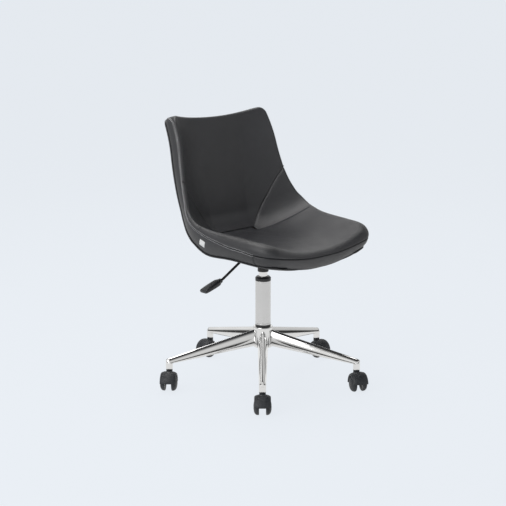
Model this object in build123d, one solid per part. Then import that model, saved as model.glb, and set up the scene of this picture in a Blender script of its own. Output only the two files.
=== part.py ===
from build123d import *
from math import atan2, cos, degrees, exp, hypot, radians, sin, sqrt, tanh
import os

# An office chair on castors: an upholstered bucket seat on a gas lift and a five-armed chromed base.
# Millimetres. Origin on the floor under the lift column, +Z up, the chair faces -Y, +X is the sitter's left.

# Fits
press_gap = 0.02
run_gap = 0.05
seat_gap = 0.3
seam_gap = 0.6
layer_gap = 1.6
border_gap = 0.9

# Castors
wheel_d = 50.0
wheel_w = 16.5
wheel_spacing = 21.0
wheel_cap = 3.0
wheel_round_share = 0.15
wheel_shoulder_share = 0.55
wheel_dome_share = 0.55
wheel_bulge_shares = (0.62, 0.3)
castor_trail = 17.0
axle_d = 6.0
stem_d = 11.0
hood_clear = 1.5
hood_wall = 6.0
hood_crown = 4.0
hood_half_w = 21.0
hood_skirt_z = 17.0
hood_below = 6.0
boss_d = 20.0
castor_height = 65.7
castor_turns = [225.0, 240.0, 263.0, 182.0, 220.0]

# Base
base_r = 311.0
first_arm_angle = 224.3
arm_count = 5
arm_root_w = 33.0
arm_root_low = 120.0
arm_root_top = 165.0
arm_tip_low = 84.0
arm_tip_top = 100.0
arm_wall = 2.5
arm_roof_share = 1.6
arch_side_share = 0.38
arch_height_share = 0.55
socket_d = 21.7
socket_wall_top = 2.5
hub_d = 62.0
hub_low = 112.0
hub_top = 176.0
hub_edge = 2.0

# Lift column and gas spring
column_d = 50.0
column_top = 332.0
column_shoulder = 7.0
column_taper_d = 48.0
column_foot_d = 46.0
column_bore_d = 42.0
column_floor = 3.0
bush_length = 80.0
collar_height = 13.0
collar_round = 4.0
cylinder_d = 28.0
cylinder_bore_d = 22.0
cylinder_top = 400.0
cylinder_cone_d = 26.0
cylinder_head = 20.0
seal_height = 14.0
stroke = 100.0
rod_d = 10.0
rod_flange_d = 16.0
rod_flange_t = 3.0
piston_t = 14.0
race_d = 26.0
race_t = 2.0
ball_d = 4.0
ball_count = 10
bumper_d = 20.0
bumper_height = 12.0
clip_d = 16.0
clip_t = 1.5
pin_d = 5.0
pin_stand = 5.0
pin_travel = 4.5

# Under-seat mechanism and lever
cone_socket_d = 35.0
cone_socket_low = 361.5
plate_w = 156.0
plate_back = 56.0
plate_front = 122.0
plate_t = 3.0
pan_half_x = 48.0
pan_half_y = 40.0
pan_depth = 28.0
screw_d = 6.0
screw_head_d = 11.0
screw_head_t = 4.0
screw_x = 64.0
screw_front = 104.0
screw_back = 40.0
insert_d = 10.0
lever_d = 8.0
lever_reach = 9.0
lever_ear_t = 3.0
lever_ear_height = 14.0
pivot_d = 4.0
lever_bend_x = 100.0
lever_drop_x = 178.0
lever_drop_z = 366.0
lever_bend_r = 14.0
handle_length = 78.0
handle_slope = 16.7
handle_neck = 6.0
handle_bore = 24.0
handle_root = (20.0, 12.0)
handle_tip = (25.0, 9.0)
handle_round = 3.0

# Bucket seat: its sections stand in half-planes that fan out from a line across the chair.
# A section angle is measured from straight down towards the back.
fan_y = -120.0
fan_z = 750.0
seat_z = 470.0
bend_y = 77.4
bend_r = 80.0
recline = 10.9
seat_thickness = 45.0
pad_share = 0.36
shell_share = 0.64
flat_half_w = 80.0
hip_half_w = 246.5
top_half_w = 202.0
taper_from = 45.0
taper_to = 106.0
taper_power = 0.8
flat_share = 0.4
plan_y = -20.0
plan_depth = 247.0
plan_power = 5.0
edge_rise = 43.0
hip_rise = 64.0
hip_angle = 42.0
hip_spread_angle = 14.0
top_fall = 14.0
top_fall_angle = 97.0
top_fall_spread_angle = 9.5
crest_inset = 6.0
crest_swell = 2.5
roll_share = 0.45
seam_inset = 1.0
seam_drop_seat = 33.0
seam_drop_top = 8.0
border_back = 50.0
border_seat = 70.0
border_turn_angle = 45.0
border_turn_spread_angle = 6.0
border_hip = 15.0
border_hip_angle = 25.0
border_hip_spread_angle = 12.0
border_lean = 14.0
border_lean_top = 6.0
border_swell = 4.0
border_tuck = 5.0
shell_inset = 26.0
top_angle = 109.0
nose_angles = [-27.2, -26.6, -25.4, -23.6, -21.2]
nose_shares = [0.8, 0.5, 0.24, 0.07, 0.0]
nose_calm = 0.1
section_step_angle = 7.0

# Seams of the bucket: the back panel's foot, the slanted seams beside it and the creases of the seat
seam_half_w = 75.0
seam_foot_z = 479.0
seam_foot_angle = 41.3
slant_top_x = 223.5
slant_top_z = 665.0
crease_tip = (70.0, 105.0, 465.0)
crease_end = (235.0, 25.0, 530.0)

# Top edge of the back, seen from the front
top_corner_z = 853.0
top_dip = 15.5
top_corner_r = 25.0

# Front border and side label
front_border_t = 9.0
front_border_lean = 17.0
front_border_low = 419.0
front_border_rise = 24.0
front_border_set = 2.0
front_border_turn_angle = 48.0
front_room_step_angle = 10.0
front_border_steps = 6
tag_angles = (25.6, 29.8)
tag_span = (0.30, 0.66)
tag_t = 0.8

far = 2000.0


def turned(profile):
    """A solid of revolution about Z from points given as (radius, height)."""
    outline = Plane.XZ * make_face(Polyline(*profile, close=True))
    return revolve(outline, Axis.Z)


def upright(diameter, low, high, x=0.0, y=0.0):
    """A cylinder standing on the Z direction."""
    return Pos(x, y, (low + high) / 2) * Cylinder(diameter / 2, high - low)


def about(angle, solid):
    return Rot(0, 0, angle) * solid


# Castors

wheel_r = wheel_d / 2
wheel_inner = wheel_spacing / 2
wheel_outer = wheel_inner + wheel_w
hood_inner_r = wheel_r + hood_clear
hood_r = hood_inner_r + hood_wall
web_half = wheel_inner - 2 * seat_gap
socket_low = castor_height + seat_gap
stem_top = arm_tip_top - socket_wall_top - 2 * seat_gap
axle_frame = Pos(castor_trail, 0, wheel_r) * Location(Plane((0, 0, 0), x_dir=(0, -1, 0), z_dir=(0, 0, 1)))


def castor_hood():
    """A crowned hood over both wheels, with a web between them and a boss for the stem."""
    edge_r = hood_r - hood_crown
    inside = Polyline(
        (hood_half_w, edge_r),
        (hood_half_w, hood_inner_r),
        (web_half, hood_inner_r),
        (web_half, 0),
        (-web_half, 0),
        (-web_half, hood_inner_r),
        (-hood_half_w, hood_inner_r),
        (-hood_half_w, edge_r),
    )
    crown = ThreePointArc((-hood_half_w, edge_r), (0, hood_r), (hood_half_w, edge_r))
    section = make_face([*inside.edges(), crown.edge()])
    dome = axle_frame * Rot(-hood_below, 0, 0) * revolve(section, Axis.X, 180 + 2 * hood_below)
    web = axle_frame * Rot(0, 90, 0) * Cylinder(edge_r, 2 * web_half)
    web = web - Pos(castor_trail, 0, hood_skirt_z - wheel_d / 2) * Box(far, far, wheel_d)
    boss = upright(boss_d, wheel_r + hood_inner_r - hood_wall, castor_height)
    stem_hole = upright(stem_d + 2 * press_gap, wheel_r + axle_d * 2, far)
    axle_hole = axle_frame * Rot(0, 90, 0) * Cylinder(axle_d / 2 + press_gap, far)
    return dome + web + boss - stem_hole - axle_hole


def castor_wheel(side):
    """One tread wheel with a rounded edge and a domed, closed outer face."""
    bore_r = axle_d / 2 + run_gap
    round_r = wheel_w * wheel_round_share
    shoulder = wheel_inner + wheel_w * wheel_shoulder_share
    dome_r = wheel_r * wheel_dome_share
    corner = round_r * (1 - sqrt(0.5))
    bulge_x = (wheel_outer - shoulder) * wheel_bulge_shares[0]
    bulge_r = (wheel_r - dome_r) * wheel_bulge_shares[1]
    tread = [
        Line((wheel_inner, bore_r), (wheel_inner, wheel_r - round_r)),
        ThreePointArc(
            (wheel_inner, wheel_r - round_r),
            (wheel_inner + corner, wheel_r - corner),
            (wheel_inner + round_r, wheel_r),
        ),
        Line((wheel_inner + round_r, wheel_r), (shoulder, wheel_r)),
        ThreePointArc(
            (shoulder, wheel_r),
            (shoulder + bulge_x, wheel_r - bulge_r),
            (wheel_outer, dome_r),
        ),
    ]
    inside = Polyline(
        (wheel_outer, dome_r),
        (wheel_outer, 0),
        (wheel_outer - wheel_cap, 0),
        (wheel_outer - wheel_cap, bore_r),
        (wheel_inner, bore_r),
    )
    section = make_face([*[part.edge() for part in tread], *inside.edges()])
    wheel = revolve(section, Axis.X)
    return axle_frame * Rot(0, 0, 0 if side > 0 else 180) * wheel


def castor(turn, x, y):
    """The pieces of one castor, turned about its stem."""
    axle_half = wheel_outer - wheel_cap - seat_gap
    pieces = {
        "stem": upright(stem_d, wheel_r + axle_d * 2 + seat_gap, stem_top),
        "hood": castor_hood(),
        "axle": axle_frame * Rot(0, 90, 0) * Cylinder(axle_d / 2, 2 * axle_half),
        "wheel_left": castor_wheel(1),
        "wheel_right": castor_wheel(-1),
    }
    return {name: Pos(x, y, 0) * about(turn, piece) for name, piece in pieces.items()}


# Base

arm_angles = [first_arm_angle + 360.0 / arm_count * i for i in range(arm_count)]


def arch(x, width, low, top):
    """A pointed arch with a flat foot, standing across an arm."""
    middle_z = low + arch_height_share * (top - low)
    middle_y = arch_side_share * width
    foot = Line((x, -width / 2, low), (x, width / 2, low))
    right = ThreePointArc((x, width / 2, low), (x, middle_y, middle_z), (x, 0, top))
    left = ThreePointArc((x, 0, top), (x, -middle_y, middle_z), (x, -width / 2, low))
    return Wire([foot.edge(), right.edge(), left.edge()])


def arm_loft(inset, start, end):
    """The tapered arm body between two radii, drawn in by a wall thickness."""
    run = base_r - hub_d / 2

    def at(x):
        t = (x - hub_d / 2) / run
        width = arm_root_w + (socket_d - arm_root_w) * t - 2 * inset
        low = arm_root_low + (arm_tip_low - arm_root_low) * t + inset
        top = arm_root_top + (arm_tip_top - arm_root_top) * t - arm_roof_share * inset
        return arch(x, width, low, top)

    return Solid.make_loft([at(start), at(end)])


def base_arm():
    """A hollow pressed arm with the castor socket at its end, welded to the hub at its root."""
    body = arm_loft(0, hub_d / 2 - arm_wall * 3, base_r)
    hollow = arm_loft(arm_wall, 0, base_r - socket_d / 2 - arm_wall)
    socket = upright(socket_d, socket_low, arm_tip_top - socket_wall_top / 2, base_r)
    stem_hole = upright(stem_d + 2 * run_gap, 0, stem_top + seat_gap, base_r)
    hub = upright(hub_d + 2 * press_gap, 0, far)
    return body - hollow + socket - stem_hole - hub


def column_r_at(z):
    """Outside radius of the column's tapered foot."""
    share = (z - hub_low) / (hub_top - hub_low)
    return (column_foot_d + (column_taper_d - column_foot_d) * share) / 2


def base_hub():
    return turned(
        [
            (column_r_at(hub_low) + press_gap, hub_low),
            (hub_d / 2 - hub_edge, hub_low),
            (hub_d / 2, hub_low + hub_edge),
            (hub_d / 2, hub_top - hub_edge),
            (hub_d / 2 - hub_edge, hub_top),
            (column_r_at(hub_top) + press_gap, hub_top),
        ]
    )


# Lift column and gas spring

race_low = hub_low + column_floor
ball_low = race_low + race_t
race_high = ball_low + ball_d
flange_low = race_high + race_t
bumper_low = flange_low + rod_flange_t
cylinder_low = bumper_low + bumper_height + seat_gap
seal_top = cylinder_low + seal_height
piston_low = seal_top + stroke + seat_gap
piston_high = piston_low + piston_t
chamber_top = cylinder_top - cylinder_head
rod_hole_d = rod_d + 4 * run_gap
rod_seat_d = rod_d + 2 * press_gap


def column_tube():
    shoulder_z = hub_top + column_shoulder
    return turned(
        [
            (rod_hole_d / 2, hub_low),
            (column_r_at(hub_low), hub_low),
            (column_r_at(hub_top), hub_top),
            (column_r_at(hub_top), shoulder_z - hub_edge / 2),
            (column_d / 2, shoulder_z),
            (column_d / 2, column_top),
            (column_bore_d / 2, column_top),
            (column_bore_d / 2, race_low),
            (rod_hole_d / 2, race_low),
        ]
    )


def column_guide_bush():
    bore_r = cylinder_d / 2 + run_gap
    collar_top = column_top + collar_height
    return turned(
        [
            (bore_r, column_top - bush_length),
            (column_bore_d / 2 - press_gap, column_top - bush_length),
            (column_bore_d / 2 - press_gap, column_top),
            (column_d / 2, column_top),
            (column_d / 2, collar_top - collar_round),
            (column_d / 2 - collar_round, collar_top),
            (bore_r, collar_top),
        ]
    )


def washer(outer_d, inner_d, low, high):
    return turned([(inner_d / 2, low), (outer_d / 2, low), (outer_d / 2, high), (inner_d / 2, high)])


def bearing_balls():
    """The thrust bearing's balls, which run between two flat races."""
    track_r = (race_d + rod_d) / 4
    ball = Pos(track_r, 0, ball_low + ball_d / 2) * Sphere(ball_d / 2 - press_gap)
    return Compound(children=[about(360.0 / ball_count * i, ball).solid() for i in range(ball_count)])


def piston_rod():
    clip_high = hub_low - press_gap
    return turned(
        [
            (0, clip_high - 2 * clip_t),
            (rod_d / 2, clip_high - 2 * clip_t),
            (rod_d / 2, flange_low),
            (rod_flange_d / 2, flange_low),
            (rod_flange_d / 2, bumper_low),
            (rod_d / 2, bumper_low),
            (rod_d / 2, piston_high),
            (0, piston_high),
        ]
    )


def cylinder_r_at(z):
    """Outside radius of the gas cylinder: straight, then a cone inside its socket."""
    share = max(0.0, (z - cone_socket_low) / (cylinder_top - cone_socket_low))
    return (cylinder_d + (cylinder_cone_d - cylinder_d) * share) / 2


def gas_cylinder():
    return turned(
        [
            (cylinder_bore_d / 2, cylinder_low),
            (cylinder_d / 2, cylinder_low),
            (cylinder_d / 2, cone_socket_low),
            (cylinder_cone_d / 2, cylinder_top),
            (pin_d / 2 + run_gap, cylinder_top),
            (pin_d / 2 + run_gap, chamber_top),
            (cylinder_bore_d / 2, chamber_top),
        ]
    )


def release_pin():
    return upright(pin_d, chamber_top + pin_travel, cylinder_top + pin_stand)


# Under-seat mechanism and lever

seat_under = seat_z - seat_thickness
plate_top = seat_under - seat_gap
plate_low = plate_top - plate_t
pan_low = plate_low - pan_depth
lever_z = cylinder_top + pin_stand + seat_gap + lever_d / 2
pivot_x = -(pan_half_x + lever_reach)
ear_y = lever_d / 2 + seat_gap
screw_places = [(sx * screw_x, y) for sx in (-1, 1) for y in (-screw_front, screw_back)]
socket_high = cylinder_top - run_gap


def cone_socket():
    return turned(
        [
            (cylinder_r_at(cone_socket_low) + press_gap, cone_socket_low),
            (cone_socket_d / 2, cone_socket_low),
            (cone_socket_d / 2, socket_high),
            (cylinder_r_at(socket_high) + press_gap, socket_high),
        ]
    )


def mechanism_plate():
    """A pressed plate with a deep pan round the lift's socket and two ears for the lever's pivot."""
    depth = plate_front + plate_back
    plate = Pos(0, (plate_back - plate_front) / 2, plate_top - plate_t / 2) * Box(plate_w, depth, plate_t)
    pan = Pos(0, 0, pan_low + pan_depth / 2) * Box(2 * pan_half_x, 2 * pan_half_y, pan_depth)
    room = Pos(0, 0, pan_low + plate_t + pan_depth / 2)
    room = room * Box(2 * (pan_half_x - plate_t), 2 * (pan_half_y - plate_t), pan_depth)
    ear_width = lever_reach * 2
    ear = Box(ear_width, lever_ear_t, lever_ear_height)
    ears = [Pos(-pan_half_x - ear_width / 2, s * (ear_y + lever_ear_t / 2), lever_z) * ear for s in (-1, 1)]
    body = plate + (pan - (room & Pos(0, 0, plate_low - far / 2) * Box(far, far, far))) + ears[0] + ears[1]
    body = body - upright(cone_socket_d + 2 * press_gap, 0, plate_low)
    slot = Pos(-pan_half_x, 0, lever_z) * Box(4 * plate_t, 2 * ear_y, lever_ear_height)
    pivot_hole = Pos(pivot_x, 0, lever_z) * Rot(90, 0, 0) * Cylinder(pivot_d / 2 + press_gap, far)
    body = body - slot - pivot_hole
    for x, y in screw_places:
        body = body - upright(screw_d + 2 * seat_gap, plate_low, plate_top, x, y)
    return body


def lever_pivot():
    return Pos(pivot_x, 0, lever_z) * Rot(90, 0, 0) * Cylinder(pivot_d / 2, 2 * (ear_y + lever_ear_t))


handle_run = Vector(-cos(radians(handle_slope)), 0, -sin(radians(handle_slope)))
lever_knee = Vector(-lever_drop_x, 0, lever_drop_z)
handle_mouth = lever_knee + handle_run * handle_neck


def lever_rod():
    """A bent wire lever that presses the gas spring's pin at its inner end."""
    rod_end = handle_mouth + handle_run * (handle_bore - seat_gap)
    path = FilletPolyline(
        (pin_d / 2, 0, lever_z),
        (-lever_bend_x, 0, lever_z),
        tuple(lever_knee),
        tuple(rod_end),
        radius=lever_bend_r,
    )
    rod = sweep(Plane(path @ 0, z_dir=path % 0) * Circle(lever_d / 2), path=path)
    pivot_hole = Pos(pivot_x, 0, lever_z) * Rot(90, 0, 0) * Cylinder(pivot_d / 2 + run_gap, 4 * lever_d)
    return rod - pivot_hole


def lever_handle():
    """A flat moulded grip pushed on the lever's end."""
    ends = [(handle_mouth, handle_root), (handle_mouth + handle_run * handle_length, handle_tip)]
    sections = [
        Plane(origin, x_dir=(0, 1, 0), z_dir=handle_run) * RectangleRounded(*size, handle_round)
        for origin, size in ends
    ]
    grip = loft(sections)
    bore = Plane(handle_mouth, z_dir=handle_run) * Pos(0, 0, handle_bore / 2)
    return grip - bore * Cylinder(lever_d / 2 + press_gap, handle_bore)


def mounting_screws():
    screws = []
    for x, y in screw_places:
        head = upright(screw_head_d, plate_low - screw_head_t, plate_low, x, y)
        shank = upright(screw_d, plate_low - screw_head_t, insert_high, x, y)
        screws.append((head + shank).solid())
    return Compound(children=screws)


def shell_inserts():
    ring = [
        upright(insert_d, insert_low, insert_high, x, y) - upright(screw_d + 2 * press_gap, 0, far, x, y)
        for x, y in screw_places
    ]
    return Compound(children=[piece.solid() for piece in ring])


# Bucket seat

bend_z = seat_z + bend_r


def spine(angle, depth):
    """Distance from the fan line to the seat's centre line, or to the line that runs depth behind it."""
    along = Vector(0, sin(radians(angle)), -cos(radians(angle)))
    start = Vector(0, fan_y - bend_y, fan_z - bend_z)
    radius = bend_r + depth
    outward = Vector(0, cos(radians(recline)), -sin(radians(recline)))
    upward = Vector(0, sin(radians(recline)), cos(radians(recline)))
    if along.Z < 0:
        on_seat = (fan_z - seat_z + depth) / -along.Z
        if fan_y + on_seat * along.Y <= bend_y:
            return on_seat
    on_back = (radius - start.dot(outward)) / along.dot(outward)
    if (start + along * on_back).dot(upward) >= 0:
        return on_back
    half = start.dot(along)
    return -half + sqrt(half * half - start.dot(start) + radius * radius)


def arc_rise(x, flat, edge, height):
    """Height above the flat middle of a section that rises on an arc to its edge."""
    span = edge - flat
    arc_r = (span * span + height * height) / (2 * height)
    run = max(0.0, abs(x) - flat)
    return arc_r - sqrt(max(0.0, arc_r * arc_r - run * run))


class Section:
    """The bucket's cross-section in the half-plane at one angle of the fan."""

    def __init__(self, angle, nose=0.0):
        self.angle = angle
        rise = edge_rise + hip_rise / (1 + ((angle - hip_angle) / hip_spread_angle) ** 2)
        rise -= top_fall * max(0.0, (angle - top_fall_angle) / top_fall_spread_angle) ** 2
        self.middle = spine(angle, 0)
        self.rise = rise * (1 - nose_calm * nose)
        crest_y = fan_y + (self.middle - self.rise) * sin(radians(angle))
        share = max(0.0, (angle - taper_from) / (taper_to - taper_from))
        self.full_w = hip_half_w - (hip_half_w - top_half_w) * share**taper_power
        ahead = min(0.999, max(0.0, (plan_y - crest_y) / plan_depth))
        self.half_w = self.full_w * (1 - ahead**plan_power) ** (1 / plan_power)
        self.flat = min(flat_half_w, flat_share * self.half_w)
        self.edge = self.half_w - shell_inset
        self.crest = self.inner(self.half_w - crest_inset)
        top_share = min(1.0, share)
        self.drop = seam_drop_seat + (seam_drop_top - seam_drop_seat) * top_share
        self.lean = border_lean + (border_lean_top - border_lean) * top_share
        middle_border = (border_back + border_seat) / 2
        swing = (border_seat - border_back) / 2 * tanh((angle - border_turn_angle) / border_turn_spread_angle)
        hip = exp(-(((angle - border_hip_angle) / border_hip_spread_angle) ** 2))
        border = middle_border - swing + border_hip * hip
        self.rear = self.crest + border * self.half_w / self.full_w
        self.back_middle = spine(angle, seat_thickness)
        self.nose = nose

    def inner(self, x):
        return self.middle - arc_rise(x, self.flat, self.full_w - crest_inset, self.rise)

    def outer(self, x):
        rise = self.back_middle - self.rear - border_tuck
        return self.back_middle - arc_rise(x, self.flat, self.edge, rise)

    def layer(self, x, share, offset=0.0):
        return self.inner(x) + share * (self.outer(x) - self.inner(x)) + offset

    def front(self, x):
        """The pad's face, drawn back towards the shell over the rounded nose of the seat."""
        return self.layer(x, pad_share * self.nose)

    def point(self, x, r):
        return Vector(x, fan_y + r * sin(radians(self.angle)), fan_z - r * cos(radians(self.angle)))

    def line(self, a, b):
        return Edge.make_line(self.point(*a), self.point(*b))

    def arc(self, a, b, c):
        return Edge.make_three_point_arc(self.point(*a), self.point(*b), self.point(*c))

    def across(self, height, edge):
        """A face line from the left edge to the right one: an arc, the flat middle and an arc."""
        middle = (self.flat + edge) / 2
        ends = [(x, height(x)) for x in (-edge, -middle, -self.flat, self.flat, middle, edge)]
        return [self.arc(*ends[:3]), self.line(ends[2], ends[3]), self.arc(*ends[3:])]

    def pad(self):
        """Face, rolled crests, the strips down to the side seams and the glued rear of the pad."""
        crest_x = self.half_w - crest_inset
        crest_r = self.front(crest_x)
        seam_x = self.half_w - seam_inset
        seam_r = crest_r + self.drop * (1 - self.nose)
        roll_x = self.half_w + crest_swell
        roll_r = crest_r + (seam_r - crest_r) * roll_share

        def rear(x):
            return self.layer(x, pad_share)

        edges = self.across(self.front, crest_x)
        edges += self.across(rear, self.edge)
        for side in (-1, 1):
            crest = (side * crest_x, crest_r)
            seam = (side * seam_x, seam_r)
            edges.append(self.arc(crest, (side * roll_x, roll_r), seam))
            edges.append(self.line(seam, (side * self.edge, rear(self.edge))))
        return Wire(Wire.combine(edges)[0].edges())

    def sheet(self, share_a, share_b):
        """A layer of the bucket between two shares of its depth."""

        def near(x):
            return self.layer(x, share_a, layer_gap)

        def far_side(x):
            return self.layer(x, share_b)

        edge = self.edge
        edges = self.across(near, edge) + self.across(far_side, edge)
        for side in (-1, 1):
            edges.append(self.line((side * edge, near(edge)), (side * edge, far_side(edge))))
        return Wire(Wire.combine(edges)[0].edges())

    def border_outer(self, share, offset=0.0):
        """A point on the swelling outer face of the side border, from the seam to the rear edge."""
        start = Vector(self.half_w - seam_inset, self.crest + self.drop + border_gap)
        end = Vector(self.half_w - self.lean, self.rear)
        run = (end - start).normalized()
        square = Vector(run.Y, -run.X)
        swell = border_swell * 4 * share * (1 - share)
        place = start + (end - start) * share + square * (swell + offset)
        return (place.X, place.Y)

    def side_border(self, side):
        inside = self.edge + border_gap
        corners = [self.border_outer(0), self.border_outer(0.5), self.border_outer(1)]
        tuck = (inside, self.outer(self.edge))
        root = (inside, self.layer(self.edge, pad_share, border_gap))
        corners, tuck, root = [[(side * x, r) for x, r in group] for group in (corners, [tuck], [root])]
        edges = [
            self.arc(*corners),
            self.line(corners[2], tuck[0]),
            self.line(tuck[0], root[0]),
            self.line(root[0], corners[0]),
        ]
        return Wire(edges)

    def tag(self, side):
        shares = [tag_span[0], sum(tag_span) / 2, tag_span[1]]
        faces = []
        for offset in (seam_gap, seam_gap + tag_t):
            faces.append([self.border_outer(share, offset) for share in shares])
        near, out = [[(side * x, r) for x, r in face] for face in faces]
        ends = [self.line(near[0], out[0]), self.line(near[2], out[2])]
        return Wire(Wire.combine([self.arc(*near), self.arc(*out), *ends])[0].edges())


def fan_angles():
    """Section angles from behind the nose to above the top edge, shared by all layers."""
    first = nose_angles[-1]
    count = max(2, round((top_angle - first) / section_step_angle))
    return [first + (top_angle - first) * i / count for i in range(count + 1)]


def above(origin, normal):
    """A very large block that fills the side of a plane that its normal points to."""
    return Plane(origin, z_dir=normal) * Pos(0, 0, far / 2) * Box(2 * far, 2 * far, far)


def top_trim():
    """What lies above the dipping top edge and its rounded corners, seen from the front."""
    side = top_half_w + crest_swell
    inner_x = side - top_corner_r
    middle = top_corner_z - top_corner_r
    diagonal = top_corner_r * sqrt(0.5)
    dip = ThreePointArc((-inner_x, top_corner_z), (0, top_corner_z - top_dip), (inner_x, top_corner_z))
    edges = [dip.edge()]
    for s in (-1, 1):
        rounded = ThreePointArc(
            (s * inner_x, top_corner_z),
            (s * (inner_x + diagonal), middle + diagonal),
            (s * side, middle),
        )
        edges += [rounded.edge(), Line((s * side, middle), (s * far / 4, middle)).edge()]
        edges.append(Line((s * far / 4, middle), (s * far / 4, far)).edge())
    edges.append(Line((-far / 4, far), (far / 4, far)).edge())
    outline = Plane.XZ * make_face(edges)
    return extrude(outline, far / 2, both=True)


def seat_planes(shift):
    """The seat pad's rear limits: the foot of the back and the two creases, as planes facing up."""
    a = radians(seam_foot_angle)
    foot = Vector(0, fan_y, fan_z)
    foot_up = Vector(0, cos(a), sin(a))
    planes = [(foot + foot_up * shift, foot_up)]
    for side in (-1, 1):
        tip = Vector(side * crease_tip[0], *crease_tip[1:])
        end = Vector(side * crease_end[0], *crease_end[1:])
        hinge = Vector((tip.X + end.X) / 2, fan_y, fan_z)
        up = (end - tip).cross(hinge - tip).normalized()
        up = up if up.Y + up.Z > 0 else up * -1
        planes.append((tip + up * shift, up))
    return planes


def slant_plane(side, shift):
    """The slanted seam beside the back panel, facing out and down to the wing."""
    run_x = slant_top_x - seam_half_w
    run_z = slant_top_z - seam_foot_z
    length = hypot(run_x, run_z)
    normal = Vector(side * run_z / length, 0, -run_x / length)
    return Vector(side * seam_half_w, 0, seam_foot_z) + normal * shift, normal


def upholstery():
    """The padded face of the bucket, cut along its seams into seat, back and two wings."""
    nose = [Section(angle, share) for angle, share in zip(nose_angles, nose_shares)]
    rest = [Section(angle) for angle in fan_angles()[1:]]
    whole = Solid.make_loft([section.pad() for section in nose + rest]) - top_trim()
    half = seam_gap / 2
    seat = whole
    below = Box(far, far, far)
    for (low_point, normal), (high_point, _) in zip(seat_planes(-half), seat_planes(half)):
        seat = seat - above(low_point, normal)
        below = below - above(high_point, normal)
    upper = whole - below
    back = upper - above(*slant_plane(1, -half)) - above(*slant_plane(-1, -half))
    return {
        "seat_pad": seat,
        "back_pad": back,
        "wing_pad_left": upper & above(*slant_plane(1, half)),
        "wing_pad_right": upper & above(*slant_plane(-1, half)),
    }


def bucket_layer(share_a, share_b):
    sections = [Section(angle) for angle in fan_angles()]
    layer = Solid.make_loft([section.sheet(share_a, share_b) for section in sections])
    return layer - top_trim() - front_room()


def side_border(side):
    sections = [Section(angle) for angle in fan_angles()[1:]]
    return Solid.make_loft([section.side_border(side) for section in sections]) - top_trim()


def side_tag():
    first, last = tag_angles
    return Solid.make_loft([Section(angle).tag(-1) for angle in (first, (first + last) / 2, last)])


def front_outline(turn):
    """The border's outer top edge in plan, as a distance from the middle of the seat."""
    direction = radians(turn)
    depth = plan_depth - front_border_set
    x_share = abs(sin(direction)) / (hip_half_w - front_border_set / 2)
    y_share = cos(direction) / depth
    return (x_share**plan_power + y_share**plan_power) ** (-1 / plan_power)


def front_lean(turn):
    """How far the border's lower edge is set back: most in the middle, none at its ends."""
    return front_border_lean * max(0.0, 1 - (turn / front_border_turn_angle) ** 2)


def front_room():
    """The front border's place and all that lies in front of it."""
    outline = []
    steps = round(90 / front_room_step_angle)
    for i in range(-steps, steps + 1):
        turn = front_room_step_angle * i
        reach = front_outline(turn) - front_lean(turn) - front_border_t - layer_gap
        outline.append((reach * sin(radians(turn)), plan_y - reach * cos(radians(turn))))
    corners = [(far / 4, plan_y), (far / 4, -far / 2), (-far / 4, -far / 2), (-far / 4, plan_y)]
    return extrude(make_face(Polyline(*outline, *corners, close=True)), far)


def front_border():
    """The band that closes the front of the seat below the pad's nose."""
    wires = []
    for i in range(-front_border_steps, front_border_steps + 1):
        share = i / front_border_steps
        turn = front_border_turn_angle * share
        reach = front_outline(turn)
        top = front_border_top(turn, reach)
        low = front_border_low + front_border_rise * share * share
        lean = front_lean(turn)
        corners = [
            (reach, top),
            (reach - lean, low),
            (reach - lean - front_border_t, low),
            (reach - front_border_t, top),
        ]
        places = [
            Vector(r * sin(radians(turn)), plan_y - r * cos(radians(turn)), z) for r, z in corners
        ]
        wires.append(Wire([Edge.make_line(places[k], places[(k + 1) % 4]) for k in range(4)]))
    return Solid.make_loft(wires)


def pad_foot_z(x, y):
    """Height of the pad's underside near the front of the seat."""
    angle = degrees(atan2(y - fan_y, fan_z - seat_z))
    section = Section(angle)
    r = section.layer(min(abs(x), section.edge), pad_share)
    return fan_z - r * cos(radians(angle))


def front_border_top(turn, reach):
    """The border's upper edge, just under the pad along its whole thickness."""
    heights = []
    for r in (reach, reach - front_border_t):
        heights.append(pad_foot_z(r * sin(radians(turn)), plan_y - r * cos(radians(turn))))
    return min(heights) - layer_gap


insert_low = seat_z - shell_share * seat_thickness + seam_gap
insert_high = seat_z - pad_share * seat_thickness - 2 * seam_gap


def seat_shell():
    shell = bucket_layer(pad_share, shell_share)
    for x, y in screw_places:
        shell = shell - upright(insert_d + 2 * press_gap, seat_under, insert_high + 4 * seam_gap, x, y)
    return shell


def rear_cover():
    cover = bucket_layer(shell_share, 1.0)
    for x, y in screw_places:
        cover = cover - upright(screw_d + 4 * seat_gap, 0, seat_z, x, y)
    return cover


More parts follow.
